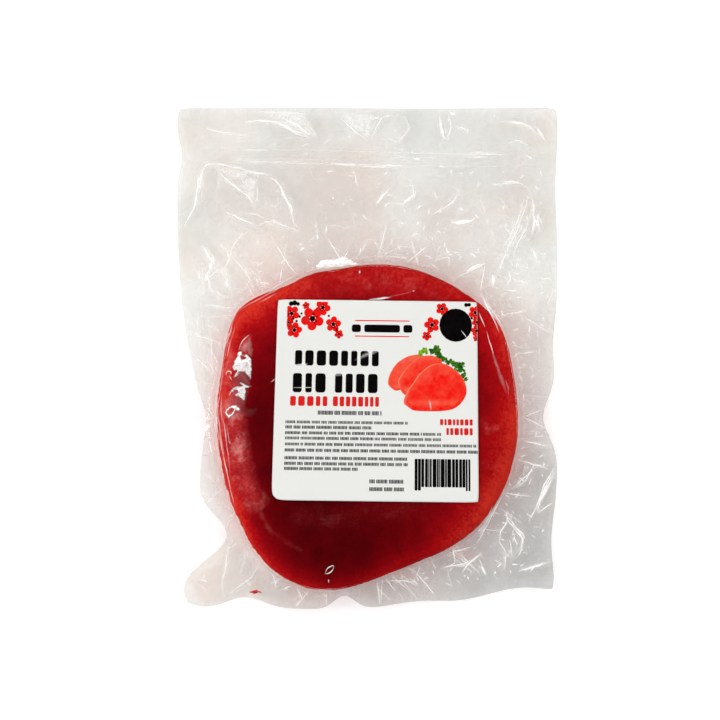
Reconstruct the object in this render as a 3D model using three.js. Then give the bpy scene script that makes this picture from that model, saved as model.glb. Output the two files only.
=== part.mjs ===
// A raw tuna medallion, vacuum-packed in a clear pouch that carries a square paper label.
// The pouch lies on its flat underside, label up. Millimetres, +Z up, and +Y towards the
// end of the pouch that was sealed last. The origin is under the middle of the pouch, on
// the surface that it lies on.
import * as THREE from "three";

// Pouch: two films, one over and one under the steak, which meet in a margin all round it.
const POUCH_WIDTH = 152;
const POUCH_LENGTH = 200;
const MARGIN_THICKNESS = 0.8; // both films, with the creases between them
const MARGIN_AT_STEAK = 5.2; // height of the margin where it leaves the steak's side
const MARGIN_FAR_OUT = 3; // height that it sinks to
const MARGIN_SINKS_OVER = 25;
const WAVE_HEIGHT = 1.3;
const WAVE_STARTS_OVER = 6;

// Steak: a flat medallion. Its outline is a round with bulges, and is widest at its corners.
const STEAK_X = -0.5;
const STEAK_Y = -27.3;
const STEAK_HEIGHT = 16;
const STEAK_RADIUS = 59.2;
const STEAK_CROWN = 0.5; // how much higher its middle is than its rim
const STEAK_BULGES = [
  { degrees: 38, by: 3.4, spread: 15 },
  { degrees: 69, by: 5.8, spread: 43 },
  { degrees: 110, by: 1.7, spread: 8 },
  { degrees: 137, by: 8.2, spread: 17 },
  { degrees: 192, by: -1, spread: 16 },
  { degrees: 247, by: 8.9, spread: 29 },
  { degrees: 283, by: -3.9, spread: 26 },
];

// The films run over the steak's edge and down its side in one bend.
const BEND_MIDDLE = 2; // distance outside the steak's outline at half of the fall
const BEND_WIDTH = 1.3;
const FLAT_INSIDE = 7; // the underside is flat as far out as this from the outline

// Where the vacuum has drawn the pouch's edge in: place along the side, depth and reach.
const DRAWN_IN = {
  right: [
    { at: 69, by: 0.9, reach: 15 },
    { at: 4.5, by: 1.8, reach: 14 },
    { at: -23.4, by: 5.8, reach: 10.8 },
    { at: -74, by: 2.4, reach: 15 },
  ],
  top: [],
  left: [
    { at: 80.7, by: 1.9, reach: 7.2 },
    { at: -23.4, by: 1.8, reach: 8 },
    { at: -32, by: 10.2, reach: 42 },
    { at: -71.3, by: 15.5, reach: 12 },
    { at: -101, by: 3.7, reach: 6.5 },
  ],
  bottom: [
    { at: -78, by: 3.3, reach: 9 },
    { at: -49, by: 4.4, reach: 10 },
    { at: -9.1, by: 5.3, reach: 5.8 },
    { at: 22, by: 2.7, reach: 15.6 },
    { at: 63, by: 8.5, reach: 22.8 },
  ],
};

// Label: a square sheet that follows the film under it.
const LABEL_WIDTH = 80;
const LABEL_LENGTH = 79;
const LABEL_THICKNESS = 0.3;
const LABEL_GAP = 0.3; // between the label and the film
const LABEL_X = 3.5;
const LABEL_Y = -16.8;
const LABEL_TURN = THREE.MathUtils.degToRad(-0.7);
const LABEL_STEPS = 18;

// How finely the pouch is divided.
const STEPS_ACROSS = 24; // along the top and the bottom side
const STEPS_ALONG = 33; // along the left and the right side
const INNER_RINGS = [0.35, 0.7]; // as shares of the flat middle
const TOP_EDGE_RINGS = [-9, -6, -4, -2.5, -1, 0]; // as distances from the steak's outline
const BOTTOM_EDGE_RINGS = [-FLAT_INSIDE, -5, -3, -1.5, 0];
const MARGIN_RINGS = 9;
const CLOSE_RINGS_REACH = 14; // the margin's rings lie closer together up to here

const film = new THREE.MeshStandardMaterial({
  color: 0xa01c22,
  roughness: 0.15,
  metalness: 0,
});
const paper = new THREE.MeshStandardMaterial({
  color: 0xf0f1ec,
  roughness: 0.4,
  metalness: 0,
});

// A bump of a given height round a middle, with soft flanks.
function bump(distance, height, reach) {
  return height * Math.exp(-((distance / reach) ** 2));
}

function angleFromSteak(x, y) {
  return Math.atan2(y - STEAK_Y, x - STEAK_X);
}

function distanceFromSteak(x, y) {
  return Math.hypot(x - STEAK_X, y - STEAK_Y);
}

// The steak's radius in one direction.
function steakRadius(angle) {
  const degrees = THREE.MathUtils.radToDeg(angle);
  let radius = STEAK_RADIUS;
  for (const bulge of STEAK_BULGES) {
    const away = THREE.MathUtils.euclideanModulo(degrees - bulge.degrees + 180, 360) - 180;
    radius += bump(away, bulge.by, bulge.spread);
  }
  return radius;
}

function drawnIn(side, at) {
  let depth = 0;
  for (const place of DRAWN_IN[side]) {
    depth += bump(at - place.at, place.by, place.reach);
  }
  return depth;
}

// Points round the pouch's edge, counterclockwise from its lower right corner.
function pouchOutline() {
  const right = POUCH_WIDTH / 2;
  const top = POUCH_LENGTH / 2;
  const points = [];
  for (let i = 0; i < STEPS_ALONG; i++) {
    const y = THREE.MathUtils.lerp(-top, top, i / STEPS_ALONG);
    points.push(new THREE.Vector2(right - drawnIn("right", y), y));
  }
  for (let i = 0; i < STEPS_ACROSS; i++) {
    const x = THREE.MathUtils.lerp(right, -right, i / STEPS_ACROSS);
    points.push(new THREE.Vector2(x, top - drawnIn("top", x)));
  }
  for (let i = 0; i < STEPS_ALONG; i++) {
    const y = THREE.MathUtils.lerp(top, -top, i / STEPS_ALONG);
    points.push(new THREE.Vector2(-right + drawnIn("left", y), y));
  }
  for (let i = 0; i < STEPS_ACROSS; i++) {
    const x = THREE.MathUtils.lerp(-right, right, i / STEPS_ACROSS);
    points.push(new THREE.Vector2(x, -top + drawnIn("bottom", x)));
  }
  // The two lower corners follow both of their sides.
  points[0].y += drawnIn("bottom", right);
  points[2 * STEPS_ALONG + STEPS_ACROSS].x += drawnIn("left", -top);
  return points;
}

// Height of the margin's middle, at a distance outside the steak's outline.
function marginHeight(angle, outside) {
  const distance = Math.max(outside, 0);
  const sunk = 1 - Math.exp(-distance / MARGIN_SINKS_OVER);
  const wavy = 1 - Math.exp(-distance / WAVE_STARTS_OVER);
  const wave = Math.sin(7 * angle + 1) + 0.6 * Math.sin(11 * angle + 2.5);
  return THREE.MathUtils.lerp(MARGIN_AT_STEAK, MARGIN_FAR_OUT, sunk) + WAVE_HEIGHT * wavy * wave;
}

// How much of the steak's height the film still has: 1 well inside the outline, 0 outside.
function heldUp(outside) {
  return 1 / (1 + Math.exp((outside - BEND_MIDDLE) / BEND_WIDTH));
}

function topHeight(x, y) {
  const angle = angleFromSteak(x, y);
  const distance = distanceFromSteak(x, y);
  const outside = distance - steakRadius(angle);
  const margin = marginHeight(angle, outside) + MARGIN_THICKNESS / 2;
  const steak = STEAK_HEIGHT - STEAK_CROWN * (distance / STEAK_RADIUS) ** 2;
  return THREE.MathUtils.lerp(margin, steak, heldUp(outside));
}

function bottomHeight(x, y) {
  const angle = angleFromSteak(x, y);
  const outside = distanceFromSteak(x, y) - steakRadius(angle);
  if (outside <= -FLAT_INSIDE + 0.01) {
    return 0;
  }
  const margin = marginHeight(angle, outside) - MARGIN_THICKNESS / 2;
  return margin * (1 - heldUp(outside));
}

// One ring of the pouch, as a rule that gives its distance from the steak's centre.
// It takes the steak's radius and the pouch's, both in the same direction.
function innerRing(share) {
  return (steak) => share * (steak - FLAT_INSIDE);
}

function edgeRing(outside) {
  return (steak) => steak + outside;
}

function marginRing(share) {
  return (steak, pouch) => {
    const width = pouch - steak;
    const close = Math.min(width, CLOSE_RINGS_REACH);
    return steak + close * share + (width - close) * share ** 3;
  };
}

// Rings from the middle of one face out to the pouch's edge.
function ringsOfFace(edgeRings) {
  const rings = [innerRing(0)];
  for (const share of INNER_RINGS) {
    rings.push(innerRing(share));
  }
  for (const outside of edgeRings) {
    rings.push(edgeRing(outside));
  }
  for (let i = 1; i <= MARGIN_RINGS; i++) {
    rings.push(marginRing(i / MARGIN_RINGS));
  }
  return rings;
}

// The pouch is turned like a lathe part, from the middle of its underside out to the edge
// and back over its top. Then each ring is drawn out to its true outline and height.
function pouchGeometry() {
  const outline = pouchOutline();
  const below = ringsOfFace(BOTTOM_EDGE_RINGS);
  const above = ringsOfFace(TOP_EDGE_RINGS).reverse();
  const rings = [...below, ...above];
  const profile = rings.map((ring, j) => {
    const radius = ring(STEAK_RADIUS, POUCH_WIDTH / 2);
    return new THREE.Vector2(radius, j < below.length ? 0 : STEAK_HEIGHT);
  });
  const geometry = new THREE.LatheGeometry(profile, outline.length);
  const position = geometry.getAttribute("position");
  for (let i = 0; i <= outline.length; i++) {
    const edge = outline[i % outline.length];
    const angle = angleFromSteak(edge.x, edge.y);
    const pouch = distanceFromSteak(edge.x, edge.y);
    rings.forEach((ring, j) => {
      const radius = ring(steakRadius(angle), pouch);
      const x = STEAK_X + radius * Math.cos(angle);
      const y = STEAK_Y + radius * Math.sin(angle);
      const z = j < below.length ? bottomHeight(x, y) : topHeight(x, y);
      position.setXYZ(i * rings.length + j, x, y, z);
    });
  }
  geometry.computeVertexNormals();
  return geometry;
}

function labelGeometry() {
  const geometry = new THREE.BoxGeometry(
    LABEL_WIDTH,
    LABEL_LENGTH,
    LABEL_THICKNESS,
    LABEL_STEPS,
    LABEL_STEPS,
  );
  geometry.rotateZ(LABEL_TURN);
  geometry.translate(LABEL_X, LABEL_Y, LABEL_GAP + LABEL_THICKNESS / 2);
  const position = geometry.getAttribute("position");
  for (let i = 0; i < position.count; i++) {
    const x = position.getX(i);
    const y = position.getY(i);
    position.setZ(i, position.getZ(i) + topHeight(x, y));
  }
  geometry.computeVertexNormals();
  return geometry;
}

function named(name, geometry, material) {
  const mesh = new THREE.Mesh(geometry, material);
  mesh.name = name;
  return mesh;
}

const group = new THREE.Group();
group.add(named("pouch", pouchGeometry(), film));
group.add(named("label", labelGeometry(), paper));

export default group;
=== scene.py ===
import math

import bmesh
import bpy
import numpy as np
from mathutils import Matrix, Vector
from mathutils.geometry import delaunay_2d_cdt


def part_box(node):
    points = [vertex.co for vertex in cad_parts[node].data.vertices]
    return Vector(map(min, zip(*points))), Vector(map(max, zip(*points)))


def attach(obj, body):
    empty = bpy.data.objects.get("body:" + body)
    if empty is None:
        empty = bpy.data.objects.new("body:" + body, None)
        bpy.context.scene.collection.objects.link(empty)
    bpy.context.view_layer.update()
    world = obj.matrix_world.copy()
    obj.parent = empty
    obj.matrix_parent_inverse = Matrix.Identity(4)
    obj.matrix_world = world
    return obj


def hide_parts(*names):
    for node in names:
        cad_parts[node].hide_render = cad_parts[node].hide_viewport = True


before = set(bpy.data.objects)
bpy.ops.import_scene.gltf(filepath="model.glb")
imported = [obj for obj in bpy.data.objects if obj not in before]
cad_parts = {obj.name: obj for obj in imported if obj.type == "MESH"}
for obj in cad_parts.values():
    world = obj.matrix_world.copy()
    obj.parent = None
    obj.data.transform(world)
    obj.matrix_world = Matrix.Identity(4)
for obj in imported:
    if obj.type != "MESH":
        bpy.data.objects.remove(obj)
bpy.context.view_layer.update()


# The steak: one raw medallion sawn straight across a frozen loin. Its cut face is deep
# crimson, and the rim is a brighter red. It lies flat in the pouch, on the lower film.

MM = 0.001
pouch_low, pouch_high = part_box("pouch")
POUCH_WIDTH = (pouch_high.x - pouch_low.x) / MM
POUCH_LENGTH = (pouch_high.y - pouch_low.y) / MM
PACK_HEIGHT = (pouch_high.z - pouch_low.z) / MM

STEAK_X = -0.5
STEAK_Y = -27.3
STEAK_RADIUS = 59.2
STEAK_BULGES = [  # direction in degrees, height and spread
    (38, 3.4, 15),
    (69, 5.8, 43),
    (110, 1.7, 8),
    (137, 8.2, 17),
    (192, -1, 16),
    (247, 8.9, 29),
    (283, -3.9, 26),
]
STEAK_BASE = 0.25
STEAK_TOP = PACK_HEIGHT - 0.45
STEAK_CROWN = 0.5  # how much higher its middle is than its rim
STEAK_EDGE = 3.4  # radius of the rounded edges
STEAK_PRESS = 0.4  # how far its side presses past the outline, against the film
STEAK_CELLS = 205  # along each side of the grid of either half
JOINED_WITHIN = 0.00001  # in m
FLESH_COLOURS = [  # from the dark middle to the rim
    (0.0, (0.100, 0.0008, 0.0030)),
    (0.25, (0.205, 0.0014, 0.0045)),
    (0.5, (0.345, 0.0030, 0.0070)),
    (0.75, (0.57, 0.006, 0.009)),
    (1.0, (0.88, 0.042, 0.026)),
]
RIM_GLOW = [  # direction in degrees, how bright the rim is there, and how far in that reaches
    (0, 1.05, 11),
    (15, 0.9, 9),
    (30, 0.92, 8),
    (60, 0.8, 8),
    (90, 0.78, 12),
    (115, 0.92, 13),
    (135, 1.05, 13),
    (155, 1.05, 9),
    (190, 1.05, 7),
    (215, 0.98, 7),
    (232, 0.9, 7),
    (250, 0.75, 6),
    (270, 0.75, 5),
    (285, 0.65, 6),
    (300, 0.75, 11),
    (318, 0.98, 15),
    (345, 1.08, 12),
    (360, 1.05, 11),
]
# Some of these bands are painted highlights, where the film over the steak shines: the short ones at the
# right and the one at the upper left.
FROST_AND_SHEEN = [  # strength, width and the points along each band of frost, pale seam and painted highlight
    (1.15, 6, [(-55, -12), (-52.5, -26), (-50.5, -41), (-47.5, -52), (-42, -60)]),
    (0.5, 4, [(-52, 9), (-57, -12), (-58.4, -27), (-57, -42), (-52, -57)]),
    (0.22, 1.3, [(-45, -56), (-38, -68.5), (-25.5, -76)]),
    (0.10, 6, [(-32, -61), (-16, -63), (6, -60), (24, -60)]),
    (0.6, 2.6, [(-47, 9.5), (-48.5, 5), (-49, 0)]),
    (0.22, 7, [(-32, 26), (-8, 30), (14, 30), (34, 24)]),
    (0.4, 2.2, [(44.5, -24), (47.5, -28.5), (52, -27.5)]),
    (0.3, 1.6, [(45, -40), (48, -43), (52, -42)]),
]


def bump(distance, height, reach):
    return height * np.exp(-((distance / reach) ** 2))


def from_steak(x, y):
    """Distance and direction, in degrees, from the steak's middle."""
    return np.hypot(x - STEAK_X, y - STEAK_Y), np.degrees(np.arctan2(y - STEAK_Y, x - STEAK_X))


def from_middle(distance, degrees):
    """The place at a distance and direction from the steak's middle."""
    way = np.radians(degrees)
    return STEAK_X + distance * np.cos(way), STEAK_Y + distance * np.sin(way)


def steak_radius(degrees):
    radius = np.full_like(degrees, STEAK_RADIUS)
    for at, height, spread in STEAK_BULGES:
        radius += bump((degrees - at + 180) % 360 - 180, height, spread)
    return radius


def outside_steak(x, y):
    """Distance outside the steak's outline, negative inside it."""
    distance, degrees = from_steak(x, y)
    return distance - steak_radius(degrees)


def patchy(x, y, size, seed):
    """Soft random patches of about one size, from -1 to 1."""
    values = np.random.default_rng(seed).uniform(-1, 1, (64, 64))
    u, v = x / size + 500, y / size + 500
    i, j = np.floor(u).astype(int), np.floor(v).astype(int)
    a, b = u - i, v - j
    a, b = a * a * (3 - 2 * a), b * b * (3 - 2 * b)
    low = values[i % 64, j % 64] * (1 - a) + values[(i + 1) % 64, j % 64] * a
    high = values[i % 64, (j + 1) % 64] * (1 - a) + values[(i + 1) % 64, (j + 1) % 64] * a
    return low * (1 - b) + high * b


def rounded_off(u, v):
    """A square of side 2 pulled to a round: distance from 0 to 1, and direction in degrees."""
    across, along = u * np.sqrt(1 - v * v / 2), v * np.sqrt(1 - u * u / 2)
    return np.hypot(across, along), np.degrees(np.arctan2(along, across))


def ridge(x, y, width, points):
    """1 on a line of points, and 0 from width away; it fades at both ends."""
    points = np.array(points, float)
    low, high = points.min(0) - 2 * width, points.max(0) + 2 * width
    near = np.flatnonzero((x > low[0]) & (x < high[0]) & (y > low[1]) & (y < high[1]))
    steps = np.diff(points, axis=0)
    lengths = np.hypot(*steps.T)
    passed = np.concatenate([[0], np.cumsum(lengths)])
    best = np.full(len(near), 1e9)
    share = np.zeros(len(near))
    for start, step, length, before in zip(points, steps, lengths, passed):
        dx, dy = x[near] - start[0], y[near] - start[1]
        t = np.clip((dx * step[0] + dy * step[1]) / length**2, 0, 1)
        away = np.hypot(dx - t * step[0], dy - t * step[1])
        closer = away < best
        best[closer] = away[closer]
        share[closer] = (before + t[closer] * length) / passed[-1]
    line = np.zeros_like(x)
    line[near] = np.sin(share * math.pi).clip(0, 1) ** 0.5 * np.clip(1 - best / width, 0, 1)
    return line


def made(name, bm, place, finish, **attributes):
    """An object from a bmesh. Each vertex goes where place says, in mm, and keeps each named value."""
    mesh = bpy.data.meshes.new(name)
    bm.to_mesh(mesh)
    bm.free()
    points = np.empty(len(mesh.vertices) * 3)
    mesh.vertices.foreach_get("co", points)
    x, y, z = place(*points.reshape(-1, 3).T)
    mesh.vertices.foreach_set("co", (np.stack([x, y, z], axis=1) * MM).ravel())
    for attribute, value in attributes.items():
        layer = mesh.attributes.new(attribute, "FLOAT", "POINT")
        layer.data.foreach_set("value", value(x, y, z).astype(np.float32))
    mesh.shade_smooth()
    mesh.update()
    piece = bpy.data.objects.new(name, mesh)
    bpy.context.scene.collection.objects.link(piece)
    mesh.materials.append(finish)
    return piece


class Wire:
    """A socket that carries a number over a surface. Arithmetic on it adds Math nodes."""

    def __init__(self, tree, socket):
        self.tree = tree
        self.socket = socket

    def node(self, kind, settings=(), inputs=(), output=0):
        """Any other node: its settings, then the values or wires of its sockets."""
        made_node = self.tree.nodes.new(kind)
        for setting, value in dict(settings).items():
            if setting == "stops":
                ramp = made_node.color_ramp.elements
                while len(ramp) < len(value):
                    ramp.new(0.5)
                for stop, (position, colour) in zip(ramp, value):
                    stop.position = position
                    stop.color = (*colour, 1)
            else:
                setattr(made_node, setting, value)
        for socket, value in dict(inputs).items():
            if isinstance(value, Wire):
                self.tree.links.new(value.socket, made_node.inputs[socket])
            else:
                made_node.inputs[socket].default_value = value
        return Wire(self.tree, made_node.outputs[output])

    def math(self, operation, first, second=0.0):
        return self.node("ShaderNodeMath", {"operation": operation}, {0: first, 1: second})

    def clamped(self):
        return self.node("ShaderNodeClamp", {}, {0: self})

    def ramp(self, low, high):
        """0 below low, 1 above high, and straight between them."""
        return self.node("ShaderNodeMapRange", {"clamp": True}, {0: self, 1: low, 2: high, 3: 0.0, 4: 1.0})

    def colour(self, first, second):
        """The first colour where this is 0, the second where it is 1."""
        return self.node("ShaderNodeMix", {"data_type": "RGBA"}, {0: self, 6: first, 7: second}, 2)

    def shader(self, first, second):
        """The first shader where this is 0, the second where it is 1."""
        return self.node("ShaderNodeMixShader", {}, {0: self, 1: first, 2: second})

    def __add__(self, other):
        return self.math("ADD", self, other)

    def __sub__(self, other):
        return self.math("SUBTRACT", self, other)

    def __rsub__(self, other):
        return self.math("SUBTRACT", other, self)

    def __mul__(self, other):
        return self.math("MULTIPLY", self, other)

    __radd__ = __add__
    __rmul__ = __mul__


def new_finish(name):
    """A material with an empty tree, and its Object coordinates."""
    material = bpy.data.materials.new(name)
    material.use_nodes = True
    material.node_tree.nodes.clear()
    start = Wire(material.node_tree, None)
    return material, start.node("ShaderNodeTexCoord", {}, {}, "Object")


def shown_by(material, surface):
    output = material.node_tree.nodes.new("ShaderNodeOutputMaterial")
    material.node_tree.links.new(surface.socket, output.inputs["Surface"])
    return material


def noise(at, scale, detail=2.0, rough=0.5, stretch=(1, 1, 1)):
    turned = at.node("ShaderNodeMapping", {}, {"Vector": at, "Scale": stretch})
    sockets = {"Vector": turned, "Scale": scale, "Detail": detail, "Roughness": rough}
    return at.node("ShaderNodeTexNoise", {}, sockets)


def kept(at, name):
    """A value that the mesh keeps at each of its points."""
    return at.node("ShaderNodeAttribute", {"attribute_name": name}, {}, "Fac")


def relief(at, strength, depth, height):
    return at.node("ShaderNodeBump", {}, {"Strength": strength, "Distance": depth, "Height": height})


def principled(at, colour, roughness, more=()):
    sockets = {"Base Color": colour, "Roughness": roughness, **dict(more)}
    return at.node("ShaderNodeBsdfPrincipled", {}, sockets)


def raw_tuna():
    material, at = new_finish("raw_tuna")
    bright, frost = kept(at, "bright"), kept(at, "frost")
    fibres = noise(at, 700, 3, 0.6, (1, 0.4, 1))
    clouds = noise(at, 60, 3, 0.55)
    grain = noise(at, 900, 3, 0.7)
    flecks = noise(at, 230, 3, 0.6)
    mottle = (clouds - 0.5) * 0.2 + (grain - 0.5) * (0.2 + bright * 0.5)
    mottle = mottle + (flecks - 0.5) * (0.06 + bright * 0.12)
    flesh = (bright + mottle).clamped()
    colour = at.node("ShaderNodeValToRGB", {"stops": FLESH_COLOURS}, {0: flesh}, "Color")
    # frost, and the painted highlights among its bands, pale the flesh towards a pinkish white
    frost_and_sheen_share = (frost * (0.45 + grain.ramp(0.42, 0.62) * 0.6 + flecks.ramp(0.4, 0.7) * 0.3)).clamped()
    frost_and_sheen_colour = flecks.ramp(0.48, 0.66).colour((0.66, 0.055, 0.06, 1), (0.82, 0.25, 0.24, 1))
    sawn = relief(at, 0.3, 0.0003, fibres * 0.6 + grain * 0.4)
    dull = {"Specular IOR Level": 0.03, "Normal": sawn}  # the gloss over it is the film's
    return shown_by(material, principled(at, frost_and_sheen_share.colour(colour, frost_and_sheen_colour), 0.5, dull))


def steak_place(u, v, side):
    """Pulls a square of side 2 over half of the steak: face, edge and side, down to its waist."""
    share, degrees = rounded_off(u, v)
    half = (STEAK_TOP - STEAK_BASE) / 2
    flat = steak_radius(degrees) + STEAK_PRESS - STEAK_EDGE
    bend = STEAK_EDGE * math.pi / 2
    way = share * (flat + bend + half - STEAK_EDGE)
    turn = np.clip((way - flat) / STEAK_EDGE, 0, math.pi / 2)
    down = np.clip(way - flat - bend, 0, None)
    out = np.minimum(way, flat) + STEAK_EDGE * np.sin(turn)
    height = half - STEAK_EDGE * (1 - np.cos(turn)) - down
    x, y = from_middle(out, degrees)
    facing = np.clip(height / half, 0, 1)  # 1 on the face and 0 at the waist
    lumps = 0.5 * patchy(x, y, 6, 11) + 0.35 * patchy(x, y, 2.2, 12) + 0.3 * patchy(x, y, 1.1, 17)
    lumps *= 0.6 + bump((degrees % 360) - 220, 0.9, 60)  # its lower left side is the roughest
    x, y = from_middle(out + lumps * (1 - facing), degrees)
    crown = STEAK_CROWN * (out / STEAK_RADIUS) ** 2
    uneven = 0.10 * patchy(x, y, 9, 13) + 0.05 * patchy(x, y, 2.2, 14) - 0.12
    face = np.where(side > 0, uneven - crown, 0.0) * facing
    middle = (STEAK_TOP + STEAK_BASE) / 2
    return x, y, middle + side * height + face


def steak_frost_and_sheen(x, y, z):
    bands = np.max([strength * ridge(x, y, width, points) for strength, width, points in FROST_AND_SHEEN], axis=0)
    return bands * (0.8 + 0.35 * patchy(x, y, 5, 18))


def steak_bright(x, y, z):
    """How bright the flesh is: dark in the middle and bright at the rim, with painted light and shade over
    the face, lighter to the right and top and darkest at the lower left.
    """
    _, degrees = from_steak(x, y)
    directions, glows, reaches = zip(*RIM_GLOW)
    glow = np.interp(degrees % 360, directions, glows)
    reach = np.interp(degrees % 360, directions, reaches)
    # painted light and shade: the face is lighter towards the right and the top, and darkest at the lower
    # left
    middle = 0.05 + 0.31 * np.clip((x + 10) / 50, 0, 1) + 0.3 * np.clip((y + 18) / 48, 0, 1)
    inside = np.clip(-outside_steak(x, y), 0, None)
    bright = middle + np.clip(glow - middle, 0, None) * np.exp(-((inside / reach) ** 1.3))
    # frost, and the painted highlights among its bands, brighten the flesh
    bright += 0.28 * steak_frost_and_sheen(x, y, z)
    return np.clip(bright + 0.05 * patchy(x, y, 11, 15) + 0.05 * patchy(x, y, 4, 16), 0, 1)


bm = bmesh.new()
for side in (1, -1):
    half = Matrix.Translation((0, 0, side))
    bmesh.ops.create_grid(bm, x_segments=STEAK_CELLS, y_segments=STEAK_CELLS, size=1, matrix=half)
bmesh.ops.reverse_faces(bm, faces=[face for face in bm.faces if face.calc_center_median().z < 0])
steak = made("raw_steak", bm, steak_place, raw_tuna(), bright=steak_bright, frost=steak_frost_and_sheen)
bm = bmesh.new()
bm.from_mesh(steak.data)
bmesh.ops.remove_doubles(bm, verts=bm.verts, dist=JOINED_WITHIN)  # the two halves, at the waist
bm.to_mesh(steak.data)
bm.free()
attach(steak, "root")
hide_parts("pouch")


# The two films: clear, slightly hazy packing film, sealed round the edge of the pouch. The
# vacuum has pulled them on to the steak and together in the margin, in sharp creases.

MARGIN_AT_STEAK = 5.2  # height of the margin's middle where it leaves the steak's side
MARGIN_FAR_OUT = 3.0  # height that it sinks to
MARGIN_SINKS_OVER = 25
WAVE_HEIGHT = 1.3
WAVE_STARTS_OVER = 6
HALF_GAP = 0.12  # from the margin's middle to either film
FILM_LOWEST = 0.35  # the deepest that a crease takes the top film
SLACK_ON_STEAK = 0.1  # the top film's drop under the top of the pack
FLAT_INSIDE = 6  # the lower film is flat as far in as this from the steak's outline
BEND_MIDDLE = 1.6  # distance outside the steak's outline at half of the film's fall
BEND_WIDTH = 0.45
LABEL_CORNER_X = 44.0  # the label's upper right corner, which the film holds up
LABEL_CORNER_Y = 22.0
DRAWN_IN = {  # place along the side, depth and reach
    "right": [(69, 0.9, 15), (4.5, 1.8, 14), (-23.4, 5.8, 10.8), (-74, 2.4, 15)],
    "left": [(80.7, 1.9, 7.2), (-23.4, 1.8, 8), (-32, 10.2, 42), (-71.3, 15.5, 12), (-101, 3.7, 6.5)],
    "bottom": [(-78, 3.3, 9), (-49, 4.4, 10), (-9.1, 5.3, 5.8), (22, 2.7, 15.6), (63, 8.5, 22.8)],
}
UPPER_CORNERS = 1.0  # how far each corner is rounded off
LOWER_RIGHT_CORNER = 1.8
LOWER_LEFT_CORNER = 0.4
FILM_ACROSS = 254
FILM_ALONG = 330
SEAL_MIDDLE = 80.2
SEAL_HALF_WIDTH = 4.4
SEAL_SLANT = 0.013
SEAL_RIBS = 4.6  # radians per mm across it
FACETS = [(14, 0.45, 21), (6, 0.2, 22), (2.6, 0.06, 23)]  # spacing, height and seed
# Painted facet shading: each facet of the crumpled film gets its own milkiness, shade and warmth, as each
# takes the light differently.
HAZE_FACETS = [(15, 0.10, 46), (6.5, 0.06, 47)]  # spacing, how much their value varies, and seed
SHADE_FACETS = (14, 0.25, 62)
WARMTH_FACETS = (14, 0.9, 63)
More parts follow.
